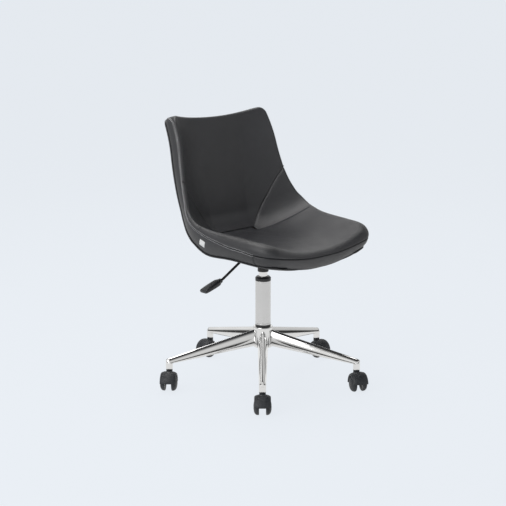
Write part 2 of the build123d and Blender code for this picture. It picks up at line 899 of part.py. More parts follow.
def chair():
    nodes = {"base_hub": base_hub()}
    arm = base_arm()
    for i, angle in enumerate(arm_angles):
        nodes[f"base_arm_{i + 1}"] = about(angle, arm)
        x = base_r * cos(radians(angle))
        y = base_r * sin(radians(angle))
        for name, piece in castor(castor_turns[i], x, y).items():
            nodes[f"castor_{i + 1}_{name}"] = piece
    nodes["column_tube"] = column_tube()
    nodes["column_guide_bush"] = column_guide_bush()
    nodes["bearing_race_lower"] = washer(race_d, rod_hole_d, race_low, ball_low)
    nodes["bearing_balls"] = bearing_balls()
    nodes["bearing_race_upper"] = washer(race_d, rod_hole_d, race_high, flange_low)
    nodes["rod_clip"] = washer(clip_d, rod_seat_d, hub_low - press_gap - clip_t, hub_low - press_gap)
    nodes["bump_stop"] = washer(bumper_d, rod_seat_d, bumper_low, bumper_low + bumper_height)
    nodes["piston_rod"] = piston_rod()
    nodes["piston"] = washer(cylinder_bore_d - 2 * run_gap, rod_seat_d, piston_low, piston_high)
    nodes["gas_cylinder"] = gas_cylinder()
    seal_d = cylinder_bore_d - 2 * press_gap
    nodes["cylinder_seal"] = washer(seal_d, rod_d + 2 * run_gap, cylinder_low, seal_top)
    nodes["release_pin"] = release_pin()
    nodes["cone_socket"] = cone_socket()
    nodes["mechanism_plate"] = mechanism_plate()
    nodes["lever_pivot"] = lever_pivot()
    nodes["lever_rod"] = lever_rod()
    nodes["lever_handle"] = lever_handle()
    nodes["mounting_screws"] = mounting_screws()
    nodes["shell_inserts"] = shell_inserts()
    nodes["seat_shell"] = seat_shell()
    nodes.update(upholstery())
    nodes["side_border_left"] = side_border(1)
    nodes["side_border_right"] = side_border(-1)
    nodes["front_border"] = front_border()
    nodes["rear_cover"] = rear_cover()
    nodes["side_tag"] = side_tag()
    return nodes


os.makedirs("parts", exist_ok=True)
for node, solid in chair().items():
    export_step(solid, f"parts/{node}.step")
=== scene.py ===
import math
from types import SimpleNamespace

import bpy
import numpy as np
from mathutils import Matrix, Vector
from mathutils.kdtree import KDTree


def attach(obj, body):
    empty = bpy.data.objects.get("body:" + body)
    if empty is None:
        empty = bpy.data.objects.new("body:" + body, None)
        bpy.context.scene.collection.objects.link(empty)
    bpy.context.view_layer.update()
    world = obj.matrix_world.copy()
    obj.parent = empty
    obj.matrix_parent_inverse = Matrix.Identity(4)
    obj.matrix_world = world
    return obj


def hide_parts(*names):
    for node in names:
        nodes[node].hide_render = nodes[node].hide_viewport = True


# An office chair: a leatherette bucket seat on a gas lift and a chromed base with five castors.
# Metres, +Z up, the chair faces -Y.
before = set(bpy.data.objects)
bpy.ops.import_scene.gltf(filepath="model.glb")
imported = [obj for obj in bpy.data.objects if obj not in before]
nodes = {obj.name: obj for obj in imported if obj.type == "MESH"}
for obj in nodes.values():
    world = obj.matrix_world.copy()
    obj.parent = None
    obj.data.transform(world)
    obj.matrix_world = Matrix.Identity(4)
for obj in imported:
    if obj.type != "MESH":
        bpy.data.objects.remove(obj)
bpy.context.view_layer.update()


# The studio: a wide pale floor that fills the view, a large soft lamp at the left, another overhead
# and a weak one behind. The camera stands where the photograph was taken from.
paper = (0.807, 0.847, 0.896, 1.0)
studio_white = (0.85, 0.85, 0.84, 1.0)
lamp_white = (1.0, 0.99, 0.98)
lamp_aim = Vector((0, 0, 0.5))
floor_half = 60.0
floor_glow = 0.93
floor_strength = 1.02
room_light = 0.30
dim_side = (0.69, -0.72, 0.05)
dim_from = -0.1
dim_to = 0.8
dim_level = 0.75
wall_tones = ((0.0, 1.0), (0.02, 0.06), (0.12, 0.06), (0.20, 1.0), (0.46, 1.0), (0.74, 0.06))
camera_place = (-2.6725, -2.6269, 1.2788)
camera_look = (0.68925, 0.68925, -0.22331)
focal_px = 1210.7
photo_px = 506
lamps = {
    "key_lamp": ((-3.0, -0.2, 2.2), 2.2, 50.0),
    "top_lamp": ((0.1, 0.6, 3.2), 2.2, 55.0),
    "rim_lamp": ((2.1, 2.1, 1.5), 1.8, 3.0),
}
scene = bpy.context.scene


def add(tree, kind, inputs=None, **settings):
    """A node with its settings and inputs; an input given as a socket is linked."""
    made = tree.nodes.new(kind)
    for key, value in settings.items():
        setattr(made, key, value)
    for key, value in (inputs or {}).items():
        if isinstance(value, bpy.types.NodeSocket):
            tree.links.new(value, made.inputs[key])
        else:
            made.inputs[key].default_value = value
    return made


def calc(tree, operation, *values):
    """The output of a math node on numbers or sockets."""
    return add(tree, "ShaderNodeMath", dict(enumerate(values)), operation=operation).outputs[0]


def tone_between(tree, share, first, second):
    tones = {"Factor": share, "A": first, "B": second}
    return add(tree, "ShaderNodeMix", tones, data_type="RGBA").outputs["Result"]


def mixed(tree, share, first, second):
    parts = {0: share, 1: first.outputs[0], 2: second.outputs[0]}
    return add(tree, "ShaderNodeMixShader", parts)


def camera_ray(tree):
    return add(tree, "ShaderNodeLightPath").outputs["Is Camera Ray"]


def seen_directly(tree):
    """1 for rays that show the backdrop itself: from the camera, a mirror or through glass."""
    path = add(tree, "ShaderNodeLightPath").outputs
    mirrored = calc(tree, "MAXIMUM", path["Is Glossy Ray"], path["Is Transmission Ray"])
    return calc(tree, "MAXIMUM", path["Is Camera Ray"], mirrored)


def blank_tree(owner):
    owner.use_nodes = True
    owner.node_tree.nodes.clear()
    return owner.node_tree


world = bpy.data.worlds.new("studio_world")
scene.world = world
tree = blank_tree(world)
ambient = add(tree, "ShaderNodeBackground", {"Color": (1, 1, 1, 1), "Strength": room_light})
direction = add(tree, "ShaderNodeTexCoord").outputs["Generated"]
facing = add(tree, "ShaderNodeVectorMath", {0: direction, 1: dim_side}, operation="DOT_PRODUCT")
fall = {"Value": facing.outputs["Value"], 1: dim_from, 2: dim_to, 3: 1.0, 4: dim_level}
dimmed = add(tree, "ShaderNodeMapRange", fall, interpolation_type="SMOOTHSTEP")
height = add(tree, "ShaderNodeSeparateXYZ", {0: direction})
walls = add(tree, "ShaderNodeValToRGB", {0: height.outputs["Z"]})
while len(walls.color_ramp.elements) < len(wall_tones):
    walls.color_ramp.elements.new(0.5)
for stop, (place, tone) in zip(walls.color_ramp.elements, wall_tones):
    stop.position = place
    stop.color = (tone, tone, tone, 1.0)
level = calc(tree, "MULTIPLY", walls.outputs[0], dimmed.outputs[0])
backdrop = add(tree, "ShaderNodeBackground", {"Color": studio_white, "Strength": level})
room = mixed(tree, seen_directly(tree), ambient, backdrop)
sky = add(tree, "ShaderNodeBackground", {"Color": paper})
shown = mixed(tree, camera_ray(tree), room, sky)
add(tree, "ShaderNodeOutputWorld", {"Surface": shown.outputs[0]})

floor_finish = bpy.data.materials.new("studio_floor")
tree = blank_tree(floor_finish)
matt = add(tree, "ShaderNodeBsdfDiffuse", {"Color": paper})
glow_tone = tone_between(tree, camera_ray(tree), studio_white, paper)
glow = add(tree, "ShaderNodeEmission", {"Color": glow_tone, "Strength": floor_strength})
glow_share = calc(tree, "MULTIPLY", seen_directly(tree), floor_glow)
shown = mixed(tree, glow_share, matt, glow)
add(tree, "ShaderNodeOutputMaterial", {"Surface": shown.outputs[0]})
floor_mesh = bpy.data.meshes.new("studio_floor")
floor_corners = [(x * floor_half, y * floor_half, 0) for x, y in ((-1, -1), (1, -1), (1, 1), (-1, 1))]
floor_mesh.from_pydata(floor_corners, [], [(0, 1, 2, 3)])
floor_mesh.materials.append(floor_finish)
floor = bpy.data.objects.new("studio_floor", floor_mesh)
scene.collection.objects.link(floor)

for name, (place, size, watts) in lamps.items():
    lamp_data = bpy.data.lights.new(name, "AREA")
    lamp_data.size = size
    lamp_data.energy = watts
    lamp_data.color = lamp_white
    lamp = bpy.data.objects.new(name, lamp_data)
    lamp.location = place
    lamp.rotation_euler = (lamp_aim - Vector(place)).to_track_quat("-Z", "Y").to_euler()
    scene.collection.objects.link(lamp)

camera_data = bpy.data.cameras.new("photo_camera")
camera_data.sensor_width = 36.0
camera_data.lens = camera_data.sensor_width * focal_px / photo_px
camera_data.clip_end = 4 * floor_half
camera = bpy.data.objects.new("photo_camera", camera_data)
camera.location = camera_place
camera.rotation_euler = Vector(camera_look).to_track_quat("-Z", "Y").to_euler()
scene.collection.objects.link(camera)
scene.camera = camera
scene.view_settings.view_transform = "Standard"


# The castors: twin nylon wheels under a crowned hood, moulded in bluish black with a fine spark texture.
# Each turns on a bright steel stem that snaps into the arm's socket, and its wheels run on a steel axle.
nylon_black = (0.022, 0.025, 0.030, 1.0)
steel_grey = (0.56, 0.57, 0.58, 1.0)
number = "NodeSocketFloat"
cloud_limits = (0.3, 0.7)
mould_tone = (35.0, 0.8, 1.25)
mould_mark_scale = 60.0
plate_cloud_share = 0.4
plate_tones = (0.94, 1.0)
castor_count = 5
base_r = 0.311
first_arm_angle = 224.3
arm_angles = [first_arm_angle + 360 / castor_count * k for k in range(castor_count)]
castor_turns = (225.0, 240.0, 263.0, 182.0, 220.0)
castor_trail = 0.017
castor_top = 0.0657
wheel_r = 0.025
hood_inner_r = 0.0264
hood_edge_r = 0.0268
hood_r = 0.0350
hood_half_w = 0.0250
hood_crown = 0.06
hood_lip_angle = 10.0
hood_rear_angle = 186.0
hood_round_power = 2.15
hood_round_steps = 24
hood_steps = 40
web_half_w = 0.0095
web_angle = 20
web_step = 14
web_steps = 10
web_foot = [(-0.012, 0.025), (-0.006, 0.0215), (0.006, 0.0215), (0.012, 0.025)]
boss_profile = [(0.0057, 0.050), (0.010, 0.050), (0.010, castor_top), (0.0057, castor_top)]
boss_round = 0.001
boss_steps = 32
wheel_round = 0.002
wheel_steps = 56
wheel_profile = [
    (0.0033, 0.0105),
    (0.0238, 0.0105),
    (0.0250, 0.0117),
    (0.0250, 0.0155),
    (0.0240, 0.0190),
    (0.0212, 0.0226),
    (0.0165, 0.0252),
    (0.0090, 0.0268),
    (0.0005, 0.0272),
    (0.0005, 0.0242),
    (0.0033, 0.0242),
]


def shader_group(name, inputs, outputs):
    """An empty shader group with named sockets, its input node and its output node."""
    group = bpy.data.node_groups.new(name, "ShaderNodeTree")
    for key, kind in inputs.items():
        group.interface.new_socket(key, in_out="INPUT", socket_type=kind)
    for key in outputs:
        group.interface.new_socket(key, in_out="OUTPUT", socket_type=number)
    return group, add(group, "NodeGroupInput").outputs, add(group, "NodeGroupOutput")


def uneven_group():
    """A soft cloudy value between two limits, for handling marks, dust and moulding texture."""
    group, given, result = shader_group(
        "uneven",
        {"Vector": "NodeSocketVector", "Scale": number, "Low": number, "High": number},
        ["Value"],
    )
    noise = {"Vector": given["Vector"], "Scale": given["Scale"], "Detail": 4.0}
    cloud = add(group, "ShaderNodeTexNoise", noise)
    low, high = cloud_limits
    limits = {"Value": cloud.outputs[0], 1: low, 2: high, 3: given["Low"], 4: given["High"]}
    spread = add(group, "ShaderNodeMapRange", limits)
    group.links.new(spread.outputs[0], result.inputs["Value"])
    return group


uneven = uneven_group()


def cloudy(tree, where, scale, low=0.0, high=1.0):
    inputs = {"Vector": where, "Scale": scale, "Low": low, "High": high}
    return add(tree, "ShaderNodeGroup", inputs, node_tree=uneven).outputs["Value"]


def scaled(colour, factor):
    return (*[channel * factor for channel in colour[:3]], 1.0)


def cloudy_tone(tree, where, colour, scale, low, high):
    """A colour that varies between two brightnesses of it."""
    return tone_between(tree, cloudy(tree, where, scale), scaled(colour, low), scaled(colour, high))


def start_finish(name):
    """A blank material, its node tree and its object coordinates."""
    finish = bpy.data.materials.new(name)
    tree = blank_tree(finish)
    return finish, tree, add(tree, "ShaderNodeTexCoord").outputs["Object"]


def principled(tree, inputs):
    shader = add(tree, "ShaderNodeBsdfPrincipled", inputs)
    add(tree, "ShaderNodeOutputMaterial", {"Surface": shader.outputs[0]})


def moulded(name, colour, gloss, grain_scale, grain_depth):
    """Moulded, coated or woven surfaces: a cloudy tone, uneven gloss and a fine texture."""
    finish, tree, where = start_finish(name)
    tone = cloudy_tone(tree, where, colour, *mould_tone)
    handled = cloudy(tree, where, mould_mark_scale, *gloss)
    spark = cloudy(tree, where, grain_scale)
    bump = add(tree, "ShaderNodeBump", {"Height": spark, "Strength": 0.5, "Distance": grain_depth})
    principled(tree, {"Base Color": tone, "Roughness": handled, "Normal": bump.outputs[0]})
    return finish


def plated(name, colour, gloss, smudge_scale):
    """Bare or plated metal with handling marks in its gloss."""
    finish, tree, where = start_finish(name)
    tone = cloudy_tone(tree, where, colour, smudge_scale * plate_cloud_share, *plate_tones)
    marks = cloudy(tree, where, smudge_scale, *gloss)
    principled(tree, {"Base Color": tone, "Roughness": marks, "Metallic": 1.0})
    return finish


def dress(node, finish):
    """A CAD node keeps its shape and takes a finish."""
    mesh = nodes[node].data
    mesh.materials.clear()
    mesh.materials.append(finish)


def surface(name, points, faces, finish, body):
    """A mesh piece that rides on a body, with its place in its own points."""
    mesh = bpy.data.meshes.new(name)
    mesh.from_pydata([tuple(p) for p in points], [], faces)
    mesh.materials.append(finish)
    mesh.polygons.foreach_set("use_smooth", [True] * len(mesh.polygons))
    mesh.update()
    piece = bpy.data.objects.new(name, mesh)
    scene.collection.objects.link(piece)
    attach(piece, body)
    return piece


def grid_faces(rows, columns, flip=False, around=False):
    """Quads over rows of points; around joins the last column to the first."""
    faces = []
    for i in range(rows - 1):
        for j in range(columns if around else columns - 1):
            right = (j + 1) % columns
            low = i * columns
            high = low + columns
            corners = [low + j, high + j, high + right, low + right]
            faces.append(corners[::-1] if flip else corners)
    return faces


def tube_faces(rows, columns):
    """Faces of a tube over rows of points, closed at both ends."""
    first = list(range(columns))
    last = [(rows - 1) * columns + j for j in first]
    return [*grid_faces(rows, columns, around=True), first, last[::-1]]


def bowed(value, power):
    """A sine or cosine raised to a power with its sign kept, for rounded sections."""
    return math.copysign(abs(value) ** power, value)


def turned(points, angle, shift=(0.0, 0.0)):
    """Points turned about Z by an angle in degrees and then moved along X and Y."""
    cos_a = math.cos(math.radians(angle))
    sin_a = math.sin(math.radians(angle))
    return [(x * cos_a - y * sin_a + shift[0], x * sin_a + y * cos_a + shift[1], z) for x, y, z in points]


def softened(profile, radius, steps=5):
    """An open profile of (radius, height) points with its inner corners rounded."""
    corners = [Vector(p) for p in profile]
    path = [corners[0]]
    for before, corner, after in zip(corners, corners[1:], corners[2:]):
        reach = min(radius, (corner - before).length / 2, (after - corner).length / 2)
        start = corner + (before - corner).normalized() * reach
        end = corner + (after - corner).normalized() * reach
        for i in range(steps + 1):
            t = i / steps
            path.append(start * (1 - t) ** 2 + corner * 2 * t * (1 - t) + end * t * t)
    return path + [corners[-1]]


def turned_ring(profile, radius, steps):
    """Points and faces of a closed ring turned about Z: the profile runs once round its section."""
    path = softened([*profile, profile[0]], radius)[:-1]
    turns = [2 * math.pi * i / steps for i in range(steps)]
    points = [(p.x * math.cos(t), p.x * math.sin(t), p.y) for p in path for t in turns]
    faces = grid_faces(len(path), steps, around=True, flip=True)
    last = len(path) - 1
    for j in range(steps):
        right = (j + 1) % steps
        faces.append((last * steps + j, last * steps + right, right, j))
    return points, faces


def joined(*parts):
    """One list of points and one of faces from several."""
    points = []
    faces = []
    for part_points, part_faces in parts:
        faces += [[v + len(points) for v in face] for face in part_faces]
        points += part_points
    return points, faces


def hood_dome():
    """The crowned cover over both wheels, open below."""
    turns = [math.pi * i / hood_round_steps for i in range(hood_round_steps + 1)]
    bow = 2 / hood_round_power
    section = []
    for t in turns:
        side = bowed(math.cos(t), bow) * hood_half_w
        section.append((side, hood_edge_r + (hood_r - hood_edge_r) * abs(math.sin(t)) ** bow, True))
    section += [(-hood_half_w, hood_inner_r, False), (hood_half_w, hood_inner_r, False)]
    points = []
    for i in range(hood_steps + 1):
        turn = math.radians(hood_lip_angle + (hood_rear_angle - hood_lip_angle) * i / hood_steps)
        for side, radius, crowned in section:
            reach = radius * (1 + hood_crown * math.sin(turn) ** 2) if crowned else radius
            points.append((castor_trail + reach * math.cos(turn), side, wheel_r + reach * math.sin(turn)))
    return points, tube_faces(hood_steps + 1, len(section))


def hood_web():
    """The plate between the wheels, which holds the axle."""
    turns = [math.radians(web_angle + web_step * i) for i in range(web_steps + 1)]
    outline = [(hood_edge_r * math.cos(t), wheel_r + hood_edge_r * math.sin(t)) for t in turns] + web_foot
    points = [(castor_trail + x, side * web_half_w, z) for side in (-1, 1) for x, z in outline]
    return points, tube_faces(2, len(outline))


castor_nylon = moulded("castor_nylon", nylon_black, (0.38, 0.55), 1400.0, 0.0003)
bright_steel = plated("bright_steel", steel_grey, (0.18, 0.32), 90.0)
boss = turned_ring(boss_profile, boss_round, boss_steps)
wheel_points, wheel_faces = turned_ring(wheel_profile, wheel_round, wheel_steps)
moulds = {"hood": joined(hood_dome(), hood_web(), boss)}
for side, label in ((-1, "left"), (1, "right")):
    places = [(castor_trail - side * x, side * z, wheel_r + y) for x, y, z in wheel_points]
    moulds[f"wheel_{label}"] = (places, wheel_faces)
for k, (arm_angle, castor_turn) in enumerate(zip(arm_angles, castor_turns), 1):
    arm_turn = math.radians(arm_angle)
    socket = (base_r * math.cos(arm_turn), base_r * math.sin(arm_turn))
    for piece, (points, faces) in moulds.items():
        places = turned(points, castor_turn, socket)
        body = f"castor_{k}" if piece == "hood" else f"castor_{k}_{piece}"
        made = surface(f"castor_{piece}_{k}", places, faces, castor_nylon, body)
        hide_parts(f"castor_{k}_{piece}")
    for piece in ("stem", "axle"):
        dress(f"castor_{k}_{piece}", bright_steel)


# The base: five arched arms welded to a round hub and chromed together.
# Each arm is a pressed shell with a ridge on top, and ends in a round socket for the castor's stem.
chrome_white = (0.84, 0.84, 0.84, 1.0)
arm_root_w = 0.033
arm_root_low = 0.121
arm_root_top = 0.170
arm_tip_low = 0.085
arm_tip_top = 0.1012
socket_d = 0.0217
socket_low = 0.066
hub_d = 0.062
hub_low = 0.112
hub_top = 0.181
hub_bore_r = 0.023
hub_round = 0.004
arm_overlap = 0.006
arm_crowding = 1.6
tip_reach = 0.995
tip_fall = 0.35
socket_overlap = 0.004
socket_round = 0.0012
arch_power = 1.67
arch_steps = 28
arm_steps = 46
lathe_steps = 72


def blend(first, second, share):
    return first + (second - first) * share


def ring_section(inner, outer, low, top):
    return [(inner, low), (outer, low), (outer, top), (inner, top)]


def lathe(name, profile, radius, finish, body):
    """A closed turned piece: the profile runs once round its section, from its bore and back."""
    points, faces = turned_ring(profile, radius, lathe_steps)
    return surface(name, points, faces, finish, body)


def arch(width, height):
    """Half-section of an arm from its left foot over the ridge to its right foot."""
    turns = [math.pi * i / arch_steps for i in range(arch_steps + 1)]
    share = 2 / arch_power
    side = [bowed(-math.cos(t), share) * width / 2 for t in turns]
    return list(zip(side, [abs(math.sin(t)) ** share * height for t in turns]))


def base_arm(name, angle):
    """One arm with its rounded tip and socket, turned to its place round the hub."""
    start = hub_d / 2 - arm_overlap
    run = base_r - hub_d / 2
    tip_r = socket_d / 2
    points = []
    for i in range(arm_steps + 1):
        share = i / arm_steps
        x = blend(start, base_r + tip_r * tip_reach, 1 - (1 - share) ** arm_crowding)
        along = (x - hub_d / 2) / run
        width = blend(arm_root_w, socket_d, along)
        low = blend(arm_root_low, arm_tip_low, along)
        top = blend(arm_root_top, arm_tip_top, along)
        past = max(0.0, x - base_r)
        if past:
            width = 2 * math.sqrt(tip_r**2 - past**2)
            top -= tip_r * tip_fall * (1 - math.sqrt(1 - (past / tip_r) ** 2))
        points += [(x, side, low + height) for side, height in arch(width, top - low)]
    shell = (points, tube_faces(arm_steps + 1, arch_steps + 1))
    path = softened(ring_section(0, tip_r, socket_low, arm_tip_low + socket_overlap), socket_round)
    turns = [2 * math.pi * j / arch_steps for j in range(arch_steps)]
    rings = [(base_r + p.x * math.cos(t), p.x * math.sin(t), p.y) for p in path for t in turns]
    socket = (rings, grid_faces(len(path), arch_steps, around=True, flip=True))
    points, faces = joined(shell, socket)
    return surface(name, turned(points, angle), faces, base_chrome, "base")


base_chrome = plated("base_chrome", chrome_white, (0.05, 0.11), 45.0)
for k, angle in enumerate(arm_angles, 1):
    arm = base_arm(f"arm_{k}", angle)
    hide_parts(f"base_arm_{k}")
hub_profile = ring_section(hub_bore_r, hub_d / 2, hub_low, hub_top)
hub = lathe("hub", hub_profile, hub_round, base_chrome, "base")
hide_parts("base_hub")


# The lift column: a satin chromed tube with a raised band at each end, on a tapered foot in the hub.
# A black collar guides the polished gas cylinder that rises out of it, and a thin black ring seals
# the foot over the hub.
satin_white = (0.70, 0.70, 0.705, 1.0)
guide_black = (0.020, 0.021, 0.023, 1.0)
column_d = 0.050
column_top = 0.332
column_foot_d = 0.048
column_shoulder = 0.188
column_bore_r = 0.0212
column_low_r = 0.023
column_round = 0.0008
lower_band = 0.004
upper_band = 0.005
band_step = 0.001
band_proud = 0.0004
seal_lap = 0.0002
seal_proud = 0.0006
seal_sink = 0.001
seal_round = 0.0003

column_satin = plated("column_satin", satin_white, (0.24, 0.28), 12.0)
cylinder_chrome = plated("cylinder_chrome", chrome_white, (0.05, 0.10), 60.0)
guide_plastic = moulded("guide_plastic", guide_black, (0.30, 0.45), 900.0, 0.0002)
column_profile = [
    (column_bore_r, hub_low),
    (column_low_r, hub_low),
    (column_foot_d / 2, column_shoulder),
    (column_d / 2, column_shoulder),
    (column_d / 2, column_shoulder + lower_band),
    (column_d / 2 - band_proud, column_shoulder + lower_band + band_step),
    (column_d / 2 - band_proud, column_top - upper_band - band_step),
    (column_d / 2, column_top - upper_band),
    (column_d / 2, column_top),
    (column_bore_r, column_top),
]
column = lathe("column", column_profile, column_round, column_satin, "base")
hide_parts("column_tube")
seal_inner = column_foot_d / 2 - seal_lap
seal_outer = column_foot_d / 2 + seal_proud
foot_seal = ring_section(seal_inner, seal_outer, hub_top - seal_sink, column_shoulder)
lathe("column_foot_seal", foot_seal, seal_round, guide_plastic, "base")
dress("column_guide_bush", guide_plastic)
dress("gas_cylinder", cylinder_chrome)
steel_nodes = ["bearing_race_lower", "bearing_balls", "bearing_race_upper"]
steel_nodes += ["piston_rod", "rod_clip", "release_pin"]
for node in steel_nodes:
    dress(node, bright_steel)
for node in ("piston", "cylinder_seal", "bump_stop"):
    dress(node, guide_plastic)


# Under the seat: a pressed, powder-coated plate screwed to the shell, and a bent wire lever.
# The lever presses the gas spring's pin and carries a flat moulded grip.
coat_black = (0.018, 0.018, 0.019, 1.0)
grip_black = (0.020, 0.022, 0.025, 1.0)
grip_slope = math.radians(16.7)
grip_run = Vector((-math.cos(grip_slope), 0, -math.sin(grip_slope)))
grip_over = Vector((-math.sin(grip_slope), 0, math.cos(grip_slope)))
grip_end = Vector((-0.178, 0, 0.366))
grip_gap = 0.006
grip_mouth = grip_end + grip_run * grip_gap
grip_bow = 0.5
grip_round_steps = 32
grip_sections = [
    (0.0, 0.0110, 0.0100),
    (0.0008, 0.0128, 0.0118),
    (0.0080, 0.0150, 0.0140),
    (0.0110, 0.0180, 0.0152),
    (0.0155, 0.0240, 0.0165),
    (0.0210, 0.0275, 0.0170),
    (0.0400, 0.0290, 0.0164),
    (0.0600, 0.0300, 0.0146),
    (0.0745, 0.0300, 0.0122),
    (0.0785, 0.0290, 0.0106),
    (0.0800, 0.0262, 0.0080),
]

powder_coat = moulded("powder_coat", coat_black, (0.35, 0.5), 700.0, 0.0004)
grip_plastic = moulded("grip_plastic", grip_black, (0.28, 0.42), 1100.0, 0.0003)
for node in ("mechanism_plate", "cone_socket", "lever_rod", "lever_pivot", "mounting_screws"):
    dress(node, powder_coat)
grip_points = []
for along, width, depth in grip_sections:
    middle = grip_mouth + grip_run * along
    for i in range(grip_round_steps):
        turn = 2 * math.pi * i / grip_round_steps
        side = bowed(math.cos(turn), grip_bow) * width / 2
        over = bowed(math.sin(turn), grip_bow) * depth / 2
        grip_points.append(middle + Vector((0, side, 0)) + grip_over * over)
grip_faces = tube_faces(len(grip_sections), grip_round_steps)
grip = surface("lever_grip", grip_points, grip_faces, grip_plastic, "lever")
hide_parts("lever_handle")
dress("shell_inserts", bright_steel)


# The bucket's form: cross-sections that fan out round a line over the seat, each with a flat middle,
# a rise to a rolled crest and a side. Seat, back and wings are one skin, sewn from four panels.
fan_y = -0.120
fan_z = 0.750
seat_z = 0.470
bend_y = 0.0774
bend_r = 0.080
recline = math.radians(10.9)
flat_half_w = 0.080
flat_front_half_w = 0.015
hip_half_w = 0.2465
top_half_w = 0.202
taper_from = 45.0
taper_to = 106.0
taper_power = 0.8
taper_soft = 0.06
edge_rise = 0.043
hip_rise = 0.064
hip_angle = 42.8
hip_spread = 15.0
hip_power = 2.2
crest_lift = 0.3
flare = 0.010
flare_angle = 40.0
flare_spread = 16.0
flare_fall = 0.9
top_fall = 0.0176
top_fall_from = 88.0
top_fall_span = 16.4
nose_from = -6.0
nose_span = 16.0
crest_swell = 0.0015
side_roll_r = 0.024
back_roll_r = 0.0075
roll_from = -5.0
roll_span = 50.0
flat_from = -26.0
flat_span = 58.0
dish_power = 2.0
wing_flatness = 0.65
wing_angle = 44.0
wing_spread = 20.0
seat_limit = 30.0
slope_rounds = 12
least_reach = 1e-3


def ease(share):
    share = np.clip(share, 0.0, 1.0)
    return share * share * (3 - 2 * share)


def bell(value, middle, spread):
    return np.exp(-(((value - middle) / spread) ** 2))


def spine(angle):
    """Distance from the fan line to the centre line: a straight seat, a bend and a straight back."""
    turn = np.radians(angle)
    ray_y = np.sin(turn)
    ray_z = -np.cos(turn)
    from_y = fan_y - bend_y
    from_z = fan_z - seat_z - bend_r
    back_cos = math.cos(recline)
    back_sin = math.sin(recline)
    toward_back = ray_y * back_cos - ray_z * back_sin
    along_back = (bend_r - from_y * back_cos + from_z * back_sin) / np.maximum(toward_back, least_reach)
    up_back = (from_y + ray_y * along_back) * back_sin + (from_z + ray_z * along_back) * back_cos
    down_seat = (fan_z - seat_z) / np.maximum(-ray_z, least_reach)
    meets_seat = (ray_z < 0) & (fan_y + down_seat * ray_y <= bend_y)
    half = from_y * ray_y + from_z * ray_z
    on_bend = -half + np.sqrt(np.maximum(0.0, half**2 - from_y**2 - from_z**2 + bend_r**2))
    meets_back = (toward_back > 0) & (up_back >= 0)
    return np.where(meets_seat, down_seat, np.where(meets_back, along_back, on_bend))


def station(angle):
    """Sizes of the cross-section at each angle of the fan, in degrees from straight down to the back."""
    angle = np.asarray(angle, float)
    turn = np.radians(angle)
    made = SimpleNamespace(angle=angle, on_seat=angle < seat_limit)
    middle = spine(angle)
    made.y = fan_y + middle * np.sin(turn)
    made.z = fan_z - middle * np.cos(turn)
    calm = angle * (1 - ease((nose_from - angle) / nose_span))
    made.tilt = np.minimum(np.radians(calm), math.pi / 2 - recline)
    made.roll_r = blend(side_roll_r, back_roll_r, ease((angle - roll_from) / roll_span))
    made.rise = edge_rise + hip_rise / (1 + np.abs((angle - hip_angle) / hip_spread) ** hip_power)
    made.rise = made.rise - top_fall * np.clip((angle - top_fall_from) / top_fall_span, 0, None) ** 2
    made.rise = made.rise + crest_lift * (made.roll_r - back_roll_r)
    share = (angle - taper_from) / (taper_to - taper_from)
    share = (share + np.sqrt(share**2 + taper_soft**2)) / 2
    made.flare = flare * bell(angle, flare_angle, flare_spread)
    made.half_w = blend(hip_half_w, top_half_w, share**taper_power) + made.flare
    made.rise = made.rise - flare_fall * made.flare
    made.flat = blend(flat_front_half_w, flat_half_w, ease((angle - flat_from) / flat_span))
    made.power = dish_power - wing_flatness * bell(angle, wing_angle, wing_spread)
    made.slope = np.zeros_like(angle)
    for _ in range(slope_rounds):
        made.start_x = made.half_w + crest_swell - made.roll_r * (1 + np.sin(made.slope))
        made.start_h = made.rise - made.roll_r * (1 - np.cos(made.slope))
        made.slope = np.arctan(made.power * made.start_h / (made.start_x - made.flat))
    return made


def dish(at, x):
    """Height of the padded face over the spine."""
    share = np.maximum(0, np.abs(x) - at.flat) / (at.start_x - at.flat)
    return at.start_h * share**at.power


def point(at, x, height, slide=0.0):
    """Places over the spine; slide moves them along it, to the back on the seat and up on the back."""
    y = at.y - height * np.sin(at.tilt) + slide * np.cos(at.tilt)
    z = at.z + height * np.cos(at.tilt) + slide * np.sin(at.tilt)
    x, y, z = np.broadcast_arrays(x, y, z)
    return np.stack([x, y, z], axis=-1)


# Where the skin ends: it rolls over a crest and runs down to a sewn seam, where the border starts.
# At the front it rolls over the nose to the front seam, and at the top over the edge to the rear.
plan_from = -0.020
front_line = -0.2396
plan_power = 9.0
plan_end = 0.965
top_line = 0.314
top_corner_r = 0.018
top_dip = 0.012
top_dip_half_w = 0.17
top_dip_from = 84.0
top_dip_span = 20.0
top_dip_most = 1.2
top_turn_most = 0.999
bow_from = 0.55
bow_span = 0.45
nose_r = 0.030
nose_half_w = 0.20
seam_inset = 0.0025
seam_drop_seat = 0.033
seam_drop_corner = 0.038
seam_drop_front = 0.030
seam_drop_nose = 0.014
seam_drop_top = 0.0085
seam_climb = (5.0, 55.0)
corner_from = -4.0
corner_span = 14.0
least_strip = 0.0005
groove_depth = 0.0016
groove_w = 0.0022
top_depth = 0.050
top_seam_lap = 0.002
border_seat = 0.070
border_back = 0.050
border_hip = 0.015
border_hip_angle = 25.0
border_hip_spread = 12.0
border_turn = 45.0
border_turn_soft = 6.0
least_border = 0.001
lean_from = 50.0
lean_span = 50.0
border_front = (0.053, 0.058)
border_lean = 0.013
border_lean_top = 0.004
border_lean_front = 0.017
border_swell = 0.004
border_full = 0.030
line_turn_power = 4


def spine_run(at):
    """Distance along the straight spine: on the seat from the column, on the back from the bend."""
    up = (at.y - bend_y) * math.sin(recline) + (at.z - seat_z - bend_r) * math.cos(recline)
    return np.where(at.on_seat, at.y, up)


